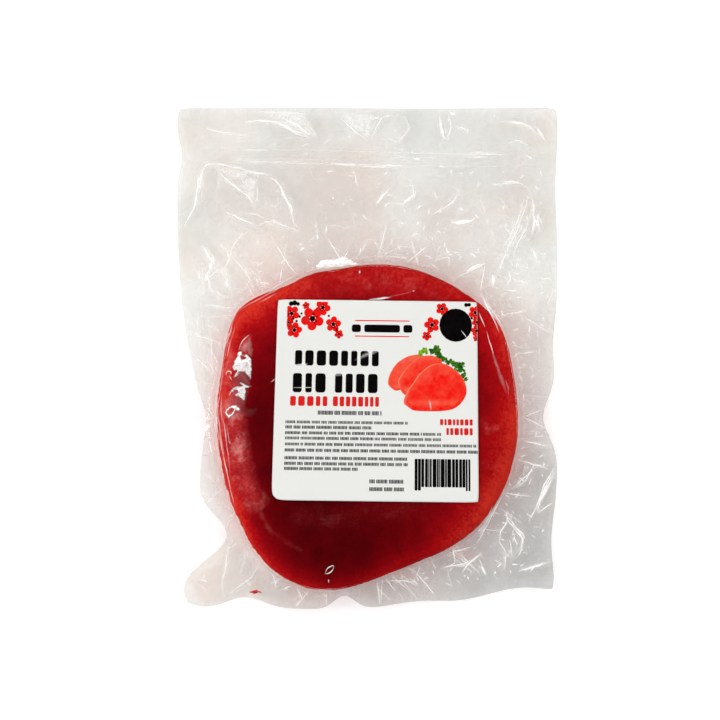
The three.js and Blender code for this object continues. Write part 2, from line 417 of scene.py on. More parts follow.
CREASES = [  # height, width and the points along each
    (0.20, 0.9, [(-75, 83.8), (-30, 83.2), (20, 82.2), (75, 81.0)]),
    (0.24, 0.9, [(-75, 78.2), (-30, 77.8), (20, 77.0), (75, 76.2)]),
    (0.12, 0.8, [(-75, 81.6), (-20, 80.9), (75, 79.4)]),
    (0.10, 0.8, [(-75, 79.9), (-20, 79.3), (75, 77.8)]),
    (0.42, 0.9, [(-14.2, 77.9), (0, 76.6), (15.6, 75.9)]),
    (0.42, 0.9, [(35.8, 81.6), (46, 81.3), (57, 81.3)]),
    (0.35, 0.9, [(-57, 79.3), (-40, 78.3), (-20, 78.3)]),
    (0.55, 1.3, [(-66, 60), (-66, 74), (-64, 77.5), (-58, 77.3), (-47, 74.7), (-40, 73)]),
    (0.55, 1.3, [(-42, 74), (-35.5, 70), (-33, 64), (-30, 60), (-30, 55), (-26.5, 50.5)]),
    (0.7, 2.6, [(-61, 76), (-54.7, 70), (-48, 65), (-44.5, 60)]),
    (0.5, 1.1, [(-59, 59.5), (-50.4, 55.5), (-44, 52.5)]),
    (0.5, 1.1, [(-46, 51.5), (-40, 54.8), (-34.5, 53.4), (-26, 50)]),
    (0.4, 1.2, [(-44, 52.3), (-50.4, 49), (-53.6, 45), (-54.7, 40.6), (-57, 35.8), (-54, 25)]),
    (0.45, 1.1, [(-59.5, 47), (-47, 32.5)]),
    (0.5, 1.4, [(-65, 45.5), (-61, 38.5), (-64, 34), (-63, 28), (-57, 24)]),
    (0.4, 1.2, [(-66, 30), (-59, 36), (-54, 28)]),
    (0.6, 3.0, [(-34, 96), (-28, 93), (-22, 88.5)]),
    (0.45, 1.2, [(-41, 95), (-34.5, 93), (-27, 89), (-19.5, 87.4)]),
    (0.45, 1.2, [(-25, 98), (-24, 94), (-19.6, 87.4)]),
    (0.5, 1.3, [(-12, 98), (-8, 93), (1, 86.3)]),
    (0.5, 1.3, [(1, 86.3), (3, 91), (6, 96.5), (13, 98)]),
    (0.4, 1.2, [(14, 98), (17, 92), (12.4, 86.4), (6, 88.5)]),
    (0.6, 2.0, [(28.8, 98), (29.6, 91), (31.5, 86.5)]),
    (0.5, 1.2, [(32, 98), (33.7, 93), (31.5, 86.5)]),
    (0.4, 1.2, [(34.7, 93), (39, 91.7), (41, 89)]),
    (0.4, 1.6, [(52, 94.5), (59, 94), (63.5, 92.8), (69, 88.5)]),
    (0.4, 1.2, [(55, 85.3), (60.3, 87), (65, 84.2)]),
    (0.4, 1.4, [(4, 61), (8, 67), (11.3, 69.3)]),
    (0.4, 1.2, [(13.4, 69.3), (18.2, 69.3), (18.8, 64), (14, 60)]),
    (0.5, 1.2, [(38, 67.7), (34.7, 63), (30.5, 59.8), (24, 56.6)]),
    (0.5, 1.8, [(32.6, 55.5), (36, 53.4), (41, 54.4), (44.3, 57)]),
    (0.8, 1.5, [(65, 68), (63, 60), (59.8, 51), (56, 44), (54, 38.5), (50, 29)]),
    (0.6, 1.1, [(63, 66), (60.5, 56), (57, 48.5), (53, 42)]),
    (0.5, 1.1, [(66.5, 62), (63.5, 52), (60, 46), (57, 38)]),
    (0.5, 1.2, [(48, 69), (60.3, 70), (65.6, 67)]),
    (0.5, 1.2, [(65.6, 67), (66, 58.7), (69, 49)]),
    (0.4, 1.1, [(69, 59), (66.5, 50)]),
    (0.4, 1.2, [(3, 42.7), (8, 41.7), (13.4, 45), (19, 43.8)]),
    (0.4, 1.1, [(26, 38.5), (32.6, 40.6), (32.6, 35.3)]),
    (0.4, 1.1, [(39, 34.2), (48.6, 38.5)]),
    (0.9, 2.6, [(-21, 36.5), (-9, 40), (-3, 37)]),
    (0.5, 1.2, [(44.7, 27), (46.8, 21.6), (50.3, 17.3), (53, 13), (52.5, 10.5)]),
    (0.35, 1.5, [(61.5, 17.3), (73, 10)]),
    (0.35, 1.5, [(71.5, 21), (75, 28)]),
    (0.5, 1.4, [(67.5, -41), (63, -49), (58, -52.5)]),
    (0.8, 2.0, [(74.4, -45), (71, -52), (67.5, -62)]),
    (0.5, 1.2, [(55.4, -60), (56.3, -65.5), (59.8, -68), (62, -71.5), (61, -76), (58, -78.5)]),
    (0.4, 1.2, [(53, -69), (52.4, -73), (55.4, -77.5), (54.6, -85)]),
    (0.4, 1.0, [(49.4, -57.7), (45, -69), (43.5, -72)]),
    (0.5, 1.6, [(33, -77.5), (42, -75)]),
    (0.5, 1.2, [(29.5, -83.6), (39, -81.8), (43.4, -79.2)]),
    (0.4, 1.2, [(45, -82.7), (47.7, -86)]),
    (0.4, 1.2, [(55.4, -80), (57.2, -75.8), (58, -80)]),
    (0.45, 1.6, [(60.5, -84.5), (73, -81)]),
    (0.4, 1.2, [(56.3, -53.4), (69, -42)]),
    (0.35, 1.4, [(-57.7, -98), (-58, -91), (-55.6, -76.5), (-53.4, -70.5)]),
    (0.35, 1.4, [(-57, -95.5), (-46.5, -87.7), (-41.4, -80)]),
    (0.3, 1.4, [(-63.7, 19), (-62.5, 8.7), (-61.2, -9.4)]),
]
LOOSE_CREASES = 150
PLEATS = 90
RED_FOLDS = [  # down the steak's left side, where the film shows its red, painted into the film's tint
    (0.3, 1.0, [(-53, 9), (-57, -3), (-60.6, -16), (-61, -26), (-59.5, -38), (-57, -50)]),
    (0.3, 0.9, [(-57.5, -1), (-61.5, -14), (-62.7, -24), (-61.8, -34), (-58.6, -47), (-54, -60)]),
    (0.4, 0.9, [(-60.2, -28), (-59.4, -40), (-55.6, -54), (-51, -65)]),
    (0.4, 0.9, [(-50, 15), (-54.5, 5), (-58.5, -6)]),
]
SIDE_FOLDS = RED_FOLDS + [
    (0.4, 0.9, [(-47, 18), (-51, 12), (-54, 5)]),
    (0.4, 0.8, [(55.5, 8), (57.5, 0), (59.3, -10), (59.8, -18)]),
    (0.4, 0.8, [(-40, 25), (-30, 32), (-20, 36.5)]),
    (0.4, 0.8, [(8, 38.5), (22, 36.5), (36, 30)]),
    (0.45, 0.8, [(62, -36), (56, -50), (48, -62), (42, -70)]),
    (0.3, 2.4, [(-67, 27), (-66, 12), (-64.4, -2), (-63.6, -18)]),
    (0.25, 2.2, [(-70, 22), (-68.6, 8), (-66, -6)]),
    (0.1, 2.0, [(-64.2, -14), (-63.6, -28), (-62, -40), (-59.5, -52)]),
    (0.25, 1.8, [(-62.4, -34), (-60.8, -48), (-58.4, -60)]),
]
# smears where the steak's red shows in the film, painted into the film's tint
RED_BOUNCE_SMEARS = [  # width and points
    (3.5, [(31, -75), (38, -77.5), (44, -80)]),
    (3, [(0, -84), (12, -86), (24, -88.5)]),
    (2.5, [(64, -34), (58, -46), (52, -56)]),
]
FILM_TONES = [  # place, and how much painted shade, how warm, and how much painted red light from the steak the film has round it
    (-60, 92, 0.16, 0.15, 0.0),
    (20, 92, 0.24, 0.05, 0.0),
    (70, 92, 0.16, 0.05, 0.0),
    (-54, 78, 0.18, 0.5, 0.0),
    (-53, 56, 0.20, 0.5, 0.0),
    (-9, 56, 0.28, 1.0, 0.05),
    (43, 56, 0.26, 0.45, 0.0),
    (72, 40, 0.12, 0.3, 0.0),
    (67, -2, 0.27, 0.85, 0.15),
    (-66, 7, -0.15, -0.5, -0.1),
    (-66, -40, -0.15, -0.4, -0.1),
    (-70, -92, -0.1, 0.15, -0.05),
    (-48, -84, 0.08, 0.7, 0.05),
    (-26, -97, 0.8, 0.6, 0.15),
    (10, -90, 1.2, 0.7, 0.35),
    (45, -84, 0.8, 0.3, 0.0),
    (63, -70, 1.6, 0.0, 0.0),
    (68, -45, 0.5, 0.4, 0.05),
]
TONE_REACH = 26


def drawn_in(side, at):
    return sum(bump(at - place, depth, reach) for place, depth, reach in DRAWN_IN[side])


def film_place(u, v):
    """Pulls a square of side 2 out to the pouch's outline."""
    depth = np.where(v > 0, UPPER_CORNERS, np.where(u > 0, LOWER_RIGHT_CORNER, LOWER_LEFT_CORNER))
    corner = depth * np.abs(u * v) ** np.where(v > 0, 30, 18)
    y = v * POUCH_LENGTH / 2
    for _ in range(3):  # each side's shape depends on the place along it, so this settles in steps
        left = -POUCH_WIDTH / 2 + drawn_in("left", y)
        right = POUCH_WIDTH / 2 - drawn_in("right", y)
        x = left + (right - left) * (u + 1) / 2
        low = -POUCH_LENGTH / 2 + drawn_in("bottom", x)
        y = low + (POUCH_LENGTH / 2 - low) * (v + 1) / 2
    return x - corner * np.sign(u), y - corner * np.sign(v)


def facets(x, y, spacing, height, seed, level=False):
    """Random facets that meet in straight creases, from jittered points of random height.
    Each slopes between its corners or, where level, has one value all over."""
    rng = np.random.default_rng(seed)
    across = np.arange(-POUCH_WIDTH / 2 - spacing, POUCH_WIDTH / 2 + 2 * spacing, spacing)
    along = np.arange(-POUCH_LENGTH / 2 - spacing, POUCH_LENGTH / 2 + 2 * spacing, spacing)
    px, py = (grid.ravel() for grid in np.meshgrid(across, along))
    px = px + rng.uniform(-0.42, 0.42, px.shape) * spacing
    py = py + rng.uniform(-0.42, 0.42, py.shape) * spacing
    pz = rng.uniform(-height, height, px.shape)
    corners = [Vector(point) for point in zip(px, py)]
    _, _, triangles, _, _, _ = delaunay_2d_cdt(corners, [], [], 0, 1e-6)
    rise = np.zeros_like(x)
    order = np.argsort(y)
    sorted_y = y[order]
    for a, b, c in triangles:
        ax, ay, bx, by, cx, cy = px[a], py[a], px[b], py[b], px[c], py[c]
        first, last = np.searchsorted(sorted_y, [min(ay, by, cy), max(ay, by, cy)])
        near = order[first:last]
        near = near[(x[near] >= min(ax, bx, cx)) & (x[near] <= max(ax, bx, cx))]
        whole = (by - cy) * (ax - cx) + (cx - bx) * (ay - cy)
        if not len(near) or abs(whole) < 1e-9:
            continue
        wa = ((by - cy) * (x[near] - cx) + (cx - bx) * (y[near] - cy)) / whole
        wb = ((cy - ay) * (x[near] - cx) + (ax - cx) * (y[near] - cy)) / whole
        wc = 1 - wa - wb
        within = (wa >= 0) & (wb >= 0) & (wc >= 0)
        if level:
            rise[near[within]] = (pz[a] + pz[b] + pz[c]) / 3
            continue
        rise[near[within]] = (wa * pz[a] + wb * pz[b] + wc * pz[c])[within]
    return rise


def margin_height(x, y):
    """The margin's middle, with its long waves, as it leaves the steak and sinks."""
    _, degrees = from_steak(x, y)
    angle = np.radians(degrees)
    away = np.clip(outside_steak(x, y), 0, None)
    wave = np.sin(7 * angle + 1) + 0.6 * np.sin(11 * angle + 2.5)
    sunk = MARGIN_FAR_OUT + (MARGIN_AT_STEAK - MARGIN_FAR_OUT) * np.exp(-away / MARGIN_SINKS_OVER)
    return sunk + WAVE_HEIGHT * wave * (1 - np.exp(-away / WAVE_STARTS_OVER))


def held_up(x, y):
    """1 where the top film lies on the steak, 0 in the margin. It stays up under the label's corner."""
    corner = bump(np.hypot(x - LABEL_CORNER_X, y - LABEL_CORNER_Y), 3.2, 7)
    return 1 / (1 + np.exp((outside_steak(x, y) - BEND_MIDDLE - corner) / (BEND_WIDTH + 0.2 * corner)))


def stroke(x, y, heading, length, sag):
    """A short line that bends once, given by its middle."""
    dx, dy = math.cos(heading) * length / 2, math.sin(heading) * length / 2
    return [(x - dx, y - dy), (x - sag * math.sin(heading), y + sag * math.cos(heading)), (x + dx, y + dy)]


def loose_creases():
    """Small creases all over the margin, and pleats that run out from the steak."""
    rng = np.random.default_rng(31)
    creases = []
    for _ in range(LOOSE_CREASES):
        px, py = rng.uniform(-70, 70), rng.uniform(-92, 74)
        heading, length = rng.uniform(0, math.pi), rng.uniform(3, 12)
        height, width = rng.uniform(-0.25, 0.3), rng.uniform(0.8, 1.3)
        sag = rng.uniform(-0.15, 0.15) * length
        if outside_steak(np.array([px]), np.array([py]))[0] >= 5:
            creases.append((height, width, stroke(px, py, heading, length, sag)))
    for _ in range(PLEATS):
        degrees = rng.uniform(0, 360)
        start, length = rng.uniform(0.5, 2.5), rng.uniform(4, 17)
        turn = rng.uniform(-7, 7)
        height, width = rng.uniform(0.15, 0.5), rng.uniform(0.8, 1.5)
        radius = steak_radius(np.array([degrees]))[0] + start
        ends = [from_middle(radius, degrees), from_middle(radius + length, degrees + turn)]
        creases.append((height, width, ends))
    return creases


every_crease = SIDE_FOLDS + CREASES + loose_creases()


def creased(x, y):
    """All that the vacuum has done to the margin: facets, creases and pleats. Then the seal's ridges."""
    rise = sum(facets(x, y, *facet) for facet in FACETS)
    rise *= np.clip((outside_steak(x, y) - 0.5) / 4, 0, 1)
    for height, width, points in every_crease:
        rise += 0.7 * height * ridge(x, y, width, points) ** 1.3
    band = y + SEAL_SLANT * x
    in_seal = np.clip(1 - np.abs(band - SEAL_MIDDLE) / SEAL_HALF_WIDTH, 0, 1) ** 0.3
    rise *= 1 - 0.6 * in_seal
    return rise + in_seal * 0.05 * np.sin(band * SEAL_RIBS) * (0.6 + 0.4 * patchy(x, y, 12, 33))


def film_haze_and_glint(x, y, z):
    """How milky the film is: a little where it is off the wet steak, and white along its creases, where
    the fold shows white with a painted highlight on it.
    """
    outside = outside_steak(x, y)
    away = np.clip((outside - 1.4) / 2.2, 0, 1)
    haze = 0.09 + 0.04 * patchy(x, y, 22, 41) + 0.04 * patchy(x, y, 7, 42)
    haze += sum(facets(x, y, *facet, level=True) for facet in HAZE_FACETS)
    haze = np.clip(haze, 0, 1)
    uneven = 0.85 + 0.3 * patchy(x, y, 3, 43)
    # painted highlight: each crease is whitened along its line
    for height, width, points in every_crease:
        line = min(0.5, 1.2 * abs(height)) * ridge(x, y, width, points) ** 1.4
        haze = np.maximum(haze, line * uneven)
    haze = haze * away + bump(outside - 2.2, 0.12, 1.0) * (0.8 + 0.5 * patchy(x, y, 3, 48))
    return np.clip(haze, 0, 1)


def film_tone(x, y, which):
    """Painted shade, warmth or painted red light from the steak, as 0, 1 or 2, blended from the places
    listed.
    """
    reach = TONE_REACH**2
    weights = [np.exp(-((x - px) ** 2 + (y - py) ** 2) / reach) + 1e-6 for px, py, *_ in FILM_TONES]
    values = [weight * place[2 + which] for weight, place in zip(weights, FILM_TONES)]
    return sum(values) / sum(weights) + 0.06 * patchy(x, y, 9, 45 + which)


def film_painted_shade(x, y, z):
    return np.clip(film_tone(x, y, 0) + facets(x, y, *SHADE_FACETS, level=True), 0, 1)


def film_warmth(x, y, z):
    return np.clip(film_tone(x, y, 1) + facets(x, y, *WARMTH_FACETS, level=True), 0, 1)


def film_red_bounce(x, y, z):
    """Painted red light from the steak: pink next to it, most at its left, and where a fold or a smear
    shows the steak's red.
    """
    outside = outside_steak(x, y)
    near = np.where(outside > 0.5, np.exp(-(outside - 0.5) / 2.2), 0)
    # painted red light from the steak, strongest just outside its outline
    pink = 0.5 * film_tone(x, y, 2) + near * (0.06 + bump(y + 25, 0.04, 45) * (x < STEAK_X))
    for width, points in [fold[1:] for fold in RED_FOLDS] + RED_BOUNCE_SMEARS:
        pink = np.maximum(pink, 0.5 * ridge(x, y, width, points))
    return np.clip(pink, 0, 1)


def clear_film():
    """Clear film, tinted by place and milky by place, under a gloss that grows at a grazing view. Its
    tints carry painted shade and painted red light from the steak.
    """
    material, at = new_finish("clear_film")
    clear = at.node("ShaderNodeBsdfTransparent", {}, {"Color": (0.955, 0.958, 0.945, 1)})
    warm = at.node("ShaderNodeBsdfTransparent", {}, {"Color": (0.948, 0.915, 0.890, 1)})
    shade_tint = at.node("ShaderNodeBsdfTransparent", {}, {"Color": (0.820, 0.818, 0.812, 1)})
    red_bounce_tint = at.node("ShaderNodeBsdfTransparent", {}, {"Color": (0.975, 0.800, 0.770, 1)})
    milk = at.node("ShaderNodeBsdfDiffuse", {}, {"Color": (0.99, 0.975, 0.955, 1)})
    body = kept(at, "warmth").shader(clear, warm)
    # painted shade: the film is darkened where shade falls, most below the steak and at the lower right
    body = kept(at, "smoke").shader(body, shade_tint)
    # painted red light from the steak tints the film pink
    body = kept(at, "pink").shader(body, red_bounce_tint)
    smears = noise(at, 150, 4, 0.6)
    body = (kept(at, "haze") * (0.55 + smears * 0.9)).clamped().shader(body, milk)
    ripples = relief(at, 0.35, 0.0003, noise(at, 260, 3, 0.6))
    gloss = at.node("ShaderNodeBsdfGlossy", {}, {"Roughness": 0.08, "Normal": ripples})
    grazing = at.node("ShaderNodeLayerWeight", {}, {"Blend": 0.5, "Normal": ripples}, "Facing")
    mirrored = grazing.math("POWER", grazing, 5.0) * 0.5 + 0.05
    return shown_by(material, mirrored.shader(body, gloss))


def top_film_height(x, y):
    distance, _ = from_steak(x, y)
    on_steak = PACK_HEIGHT - SLACK_ON_STEAK - STEAK_CROWN * (distance / STEAK_RADIUS) ** 2
    margin = margin_height(x, y) + HALF_GAP
    return margin + (on_steak - margin) * held_up(x, y)


def top_film_place(u, v, _):
    x, y = film_place(u, v)
    tight = (0.05 * patchy(x, y, 6, 51) + 0.03 * patchy(x, y, 2.5, 52)) * held_up(x, y)
    return x, y, np.maximum(top_film_height(x, y) + tight + creased(x, y), FILM_LOWEST)


def bottom_film_place(u, v, _):
    x, y = film_place(u, v)
    outside = outside_steak(x, y)
    lifted = 1 / (1 + np.exp((BEND_MIDDLE - outside) / BEND_WIDTH))
    z = (margin_height(x, y) - HALF_GAP + creased(x, y)) * lifted
    return x, y, np.where(outside < -FLAT_INSIDE, 0.0, z).clip(0)


film_finish = clear_film()
for name, place in (("bottom_film", bottom_film_place), ("top_film", top_film_place)):
    bm = bmesh.new()
    bmesh.ops.create_grid(bm, x_segments=FILM_ACROSS, y_segments=FILM_ALONG, size=1)
    if name == "bottom_film":
        bmesh.ops.reverse_faces(bm, faces=bm.faces)
    film = made(
        name,
        bm,
        place,
        film_finish,
        haze=film_haze_and_glint,
        smoke=film_painted_shade,
        warmth=film_warmth,
        pink=film_red_bounce,
    )
    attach(film, "root")
    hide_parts("pouch")


# The crests of the creases, where the film is folded double and shows white, and the pockets
# where it stands off the steak, the label or itself, with their bright edges, all as painted
# highlight. They are slivers and patches just over the top film, clear but for their white.

CREST_STEP = 0.5  # between the points along a crest
CREST_LIFT = 0.07
LOOSE_CRESTS = 620
GLINTS = [  # strength, width and the points along more painted glints on crests, most at the pouch's empty end
    (0.45, 0.5, [(-60.3, 89.2), (-44.1, 89.2)]),
    (0.4, 0.5, [(-61.4, 87.9), (-44.1, 87.9)]),
    (0.4, 0.5, [(-60.3, 86.5), (-44.1, 86.5)]),
    (0.4, 0.6, [(-35.1, 87.7), (-18.3, 87.7)]),
    (0.6, 0.9, [(-39.6, 84.4), (-35.1, 85.8)]),
    (0.9, 0.6, [(-52.5, 83.2), (-39, 82.8)]),
    (0.6, 1.0, [(-68.1, 91.1), (-64.2, 92.2), (-60.3, 90.5), (-56.4, 90.2), (-49.1, 89.1)]),
    (0.6, 1.0, [(-44.6, 98.4), (-39, 98.4), (-25, 97.6)]),
    (1.0, 1.7, [(-50.8, 93.9), (-43.5, 95), (-36.2, 94.4), (-29.5, 90.8), (-22.2, 88.8)]),
    (0.6, 0.9, [(-5.4, 75.7), (-3.8, 67.3)]),
    (0.9, 0.7, [(-15.2, 77.6), (-3.2, 76.8)]),
    (0.9, 1.5, [(-66.7, 76.2), (-67.9, 67.8), (-69, 60.6), (-74, 51.6)]),
    (1.0, 1.2, [(-50.5, 74.8), (-44, 73.8), (-37.4, 73.2)]),
    (0.8, 0.8, [(-44.1, 71), (-43.8, 65), (-44.3, 60)]),
    (1.0, 1.2, [(-38.4, 73.6), (-34.6, 68.4), (-32.3, 63.4), (-30.6, 59.4), (-29, 53.4)]),
    (0.8, 0.5, [(-38.2, 66.7), (-34, 66.7)]),
    (0.8, 0.5, [(-34.4, 57.5), (-31.4, 57.5)]),
    (1.0, 1.0, [(-55.6, 58.2), (-49.1, 55), (-44, 53.2)]),
    (0.7, 0.6, [(-51, 57.6), (-44.6, 57.5), (-40.2, 55.4)]),
    (0.6, 0.7, [(-33.6, 37.2), (-32, 47.9)]),
    (1.0, 1.5, [(-66.2, 45.6), (-63.1, 39.9), (-60, 36.8)]),
    (0.8, 0.9, [(-65.9, 37.6), (-65.3, 23)]),
    (0.9, 0.6, [(29.2, 96), (31, 87.4)]),
    (0.9, 0.6, [(31.4, 96), (31.6, 88.5)]),
    (1.0, 1.7, [(32.6, 98.4), (35.8, 97.4)]),
    (1.0, 1.6, [(57, 94.6), (60.4, 93.9), (64, 93.1)]),
    (0.8, 1.3, [(66.4, 92.8), (69.2, 89.5), (71, 86.2)]),
    (0.9, 0.7, [(39, 82.2), (51.4, 81.9)]),
    (0.6, 0.6, [(38.4, 80.4), (50.2, 80.1)]),
    (0.9, 1.3, [(63.8, 80.9), (66.4, 79)]),
    (0.8, 0.9, [(2.2, 75.2), (4.8, 76.9), (14.8, 77.2), (18.6, 74)]),
    (0.7, 0.8, [(9.8, 81.3), (14.8, 81.3), (16.8, 79.3)]),
    (0.9, 1.2, [(17.8, 80.2), (21.6, 79.7)]),
    (0.8, 0.8, [(16.2, 72.8), (18.8, 69.4)]),
    (1.0, 1.4, [(3.2, 61), (5.4, 64.3), (9, 67.4)]),
    (1.0, 1.5, [(13, 61), (15.9, 63.1), (19.2, 66)]),
    (0.9, 1.1, [(19.7, 59.3), (21.8, 61.7)]),
    (0.8, 0.8, [(24.7, 61.2), (24.7, 56.3)]),
    (0.7, 0.8, [(33.5, 76), (33.5, 72.8)]),
    (0.7, 0.8, [(34.6, 74.4), (38.9, 73.6)]),
    (1.0, 1.9, [(33.4, 54), (37.6, 54.4), (41.8, 55)]),
    (0.8, 0.9, [(42, 58.3), (44.9, 55.2)]),
    (0.7, 0.7, [(49.1, 50.8), (51.3, 45.2)]),
    (1.0, 1.3, [(65.1, 59.2), (66.9, 55.5), (65.6, 48.6)]),
    (1.0, 1.1, [(67.1, 57.8), (70, 54)]),
    (0.9, 1.4, [(54.8, 51.7), (57.2, 50)]),
    (0.9, 0.7, [(26.2, 37.6), (28.2, 40.3), (31, 41.8)]),
    (0.8, 0.6, [(24, 38), (26.5, 37.2), (29, 34.6)]),
    (0.9, 0.8, [(30.8, 42), (34, 42.8)]),
    (1.0, 1.1, [(38.8, 34.2), (42.3, 36.5), (45.6, 37.9)]),
    (1.0, 2.2, [(49.7, 34), (50.6, 28.2)]),
    (1.0, 1.0, [(56, 35.4), (57.5, 32.1), (55, 28.2)]),
    (0.8, 0.7, [(57.2, 31.1), (63.6, 30.3)]),
    (0.8, 0.9, [(68.2, 30.8), (73.6, 32.6)]),
    (0.9, 1.3, [(65.5, 44.3), (68.2, 38.6)]),
    (0.6, 0.6, [(-2.6, 47.2), (5.2, 47.9)]),
    (0.8, 0.7, [(4, 38.7), (4.8, 42.1), (8, 45.3)]),
    (0.8, 0.8, [(8.6, 42.2), (15.8, 40.8)]),
    (1.0, 1.2, [(12.7, 54), (15.2, 54)]),
    (0.6, 1.3, [(8.6, 39.3), (12.2, 37.8)]),
    (1.0, 0.9, [(54.6, -51.6), (49.3, -60.9), (44.3, -72)]),
    (1.0, 0.9, [(55.7, -59), (55.7, -65.6), (52.8, -69.1), (52.8, -73)]),
    (1.0, 1.1, [(56.3, -65.2), (62.2, -72), (61.3, -76.7), (59.1, -80.6)]),
    (0.9, 0.7, [(59.4, -67.4), (62.6, -70.6)]),
    (0.8, 0.7, [(58.2, -70), (60, -75.6)]),
    (0.8, 0.6, [(56.4, -71), (57.6, -77)]),
    (1.0, 1.1, [(46.9, -76.9), (39.9, -82.5), (37.3, -86.4)]),
    (0.9, 0.9, [(45, -81), (47.7, -87)]),
    (0.9, 1.1, [(59.8, -85), (71.5, -81.8)]),
    (0.8, 0.8, [(3, -89), (14.8, -88.6), (20.6, -90), (15.4, -86.2)]),
    (0.9, 2.4, [(66.8, -60), (71, -53.6), (74, -48)]),
    (0.6, 1.0, [(64, -66), (69, -57)]),
    (1.5, 0.9, [(53.4, -54.6), (50.8, -59.4), (48.8, -64.2), (46.8, -68.3)]),
    (1.3, 0.8, [(47.6, -66.4), (45.3, -71.2), (43.2, -74)]),
    (1.0, 0.8, [(10.1, -89.7), (14.5, -88.5), (21.2, -91.3)]),
    (1.0, 0.7, [(15.6, -87.3), (18.9, -89.1), (21.1, -91.2)]),
    (1.2, 0.9, [(37.6, -86.2), (39.9, -82.4), (45.4, -77.3)]),
    (1.0, 0.8, [(29.4, -84.4), (34.1, -82.1), (36.7, -79.7)]),
    (0.8, 0.9, [(45.2, -82.4), (47.4, -86.8)]),
    (1.0, 0.7, [(68, -62), (75.1, -57.2)]),
    (1.0, 0.9, [(67.3, -60.5), (70.6, -50.8), (75.2, -42.6)]),
]
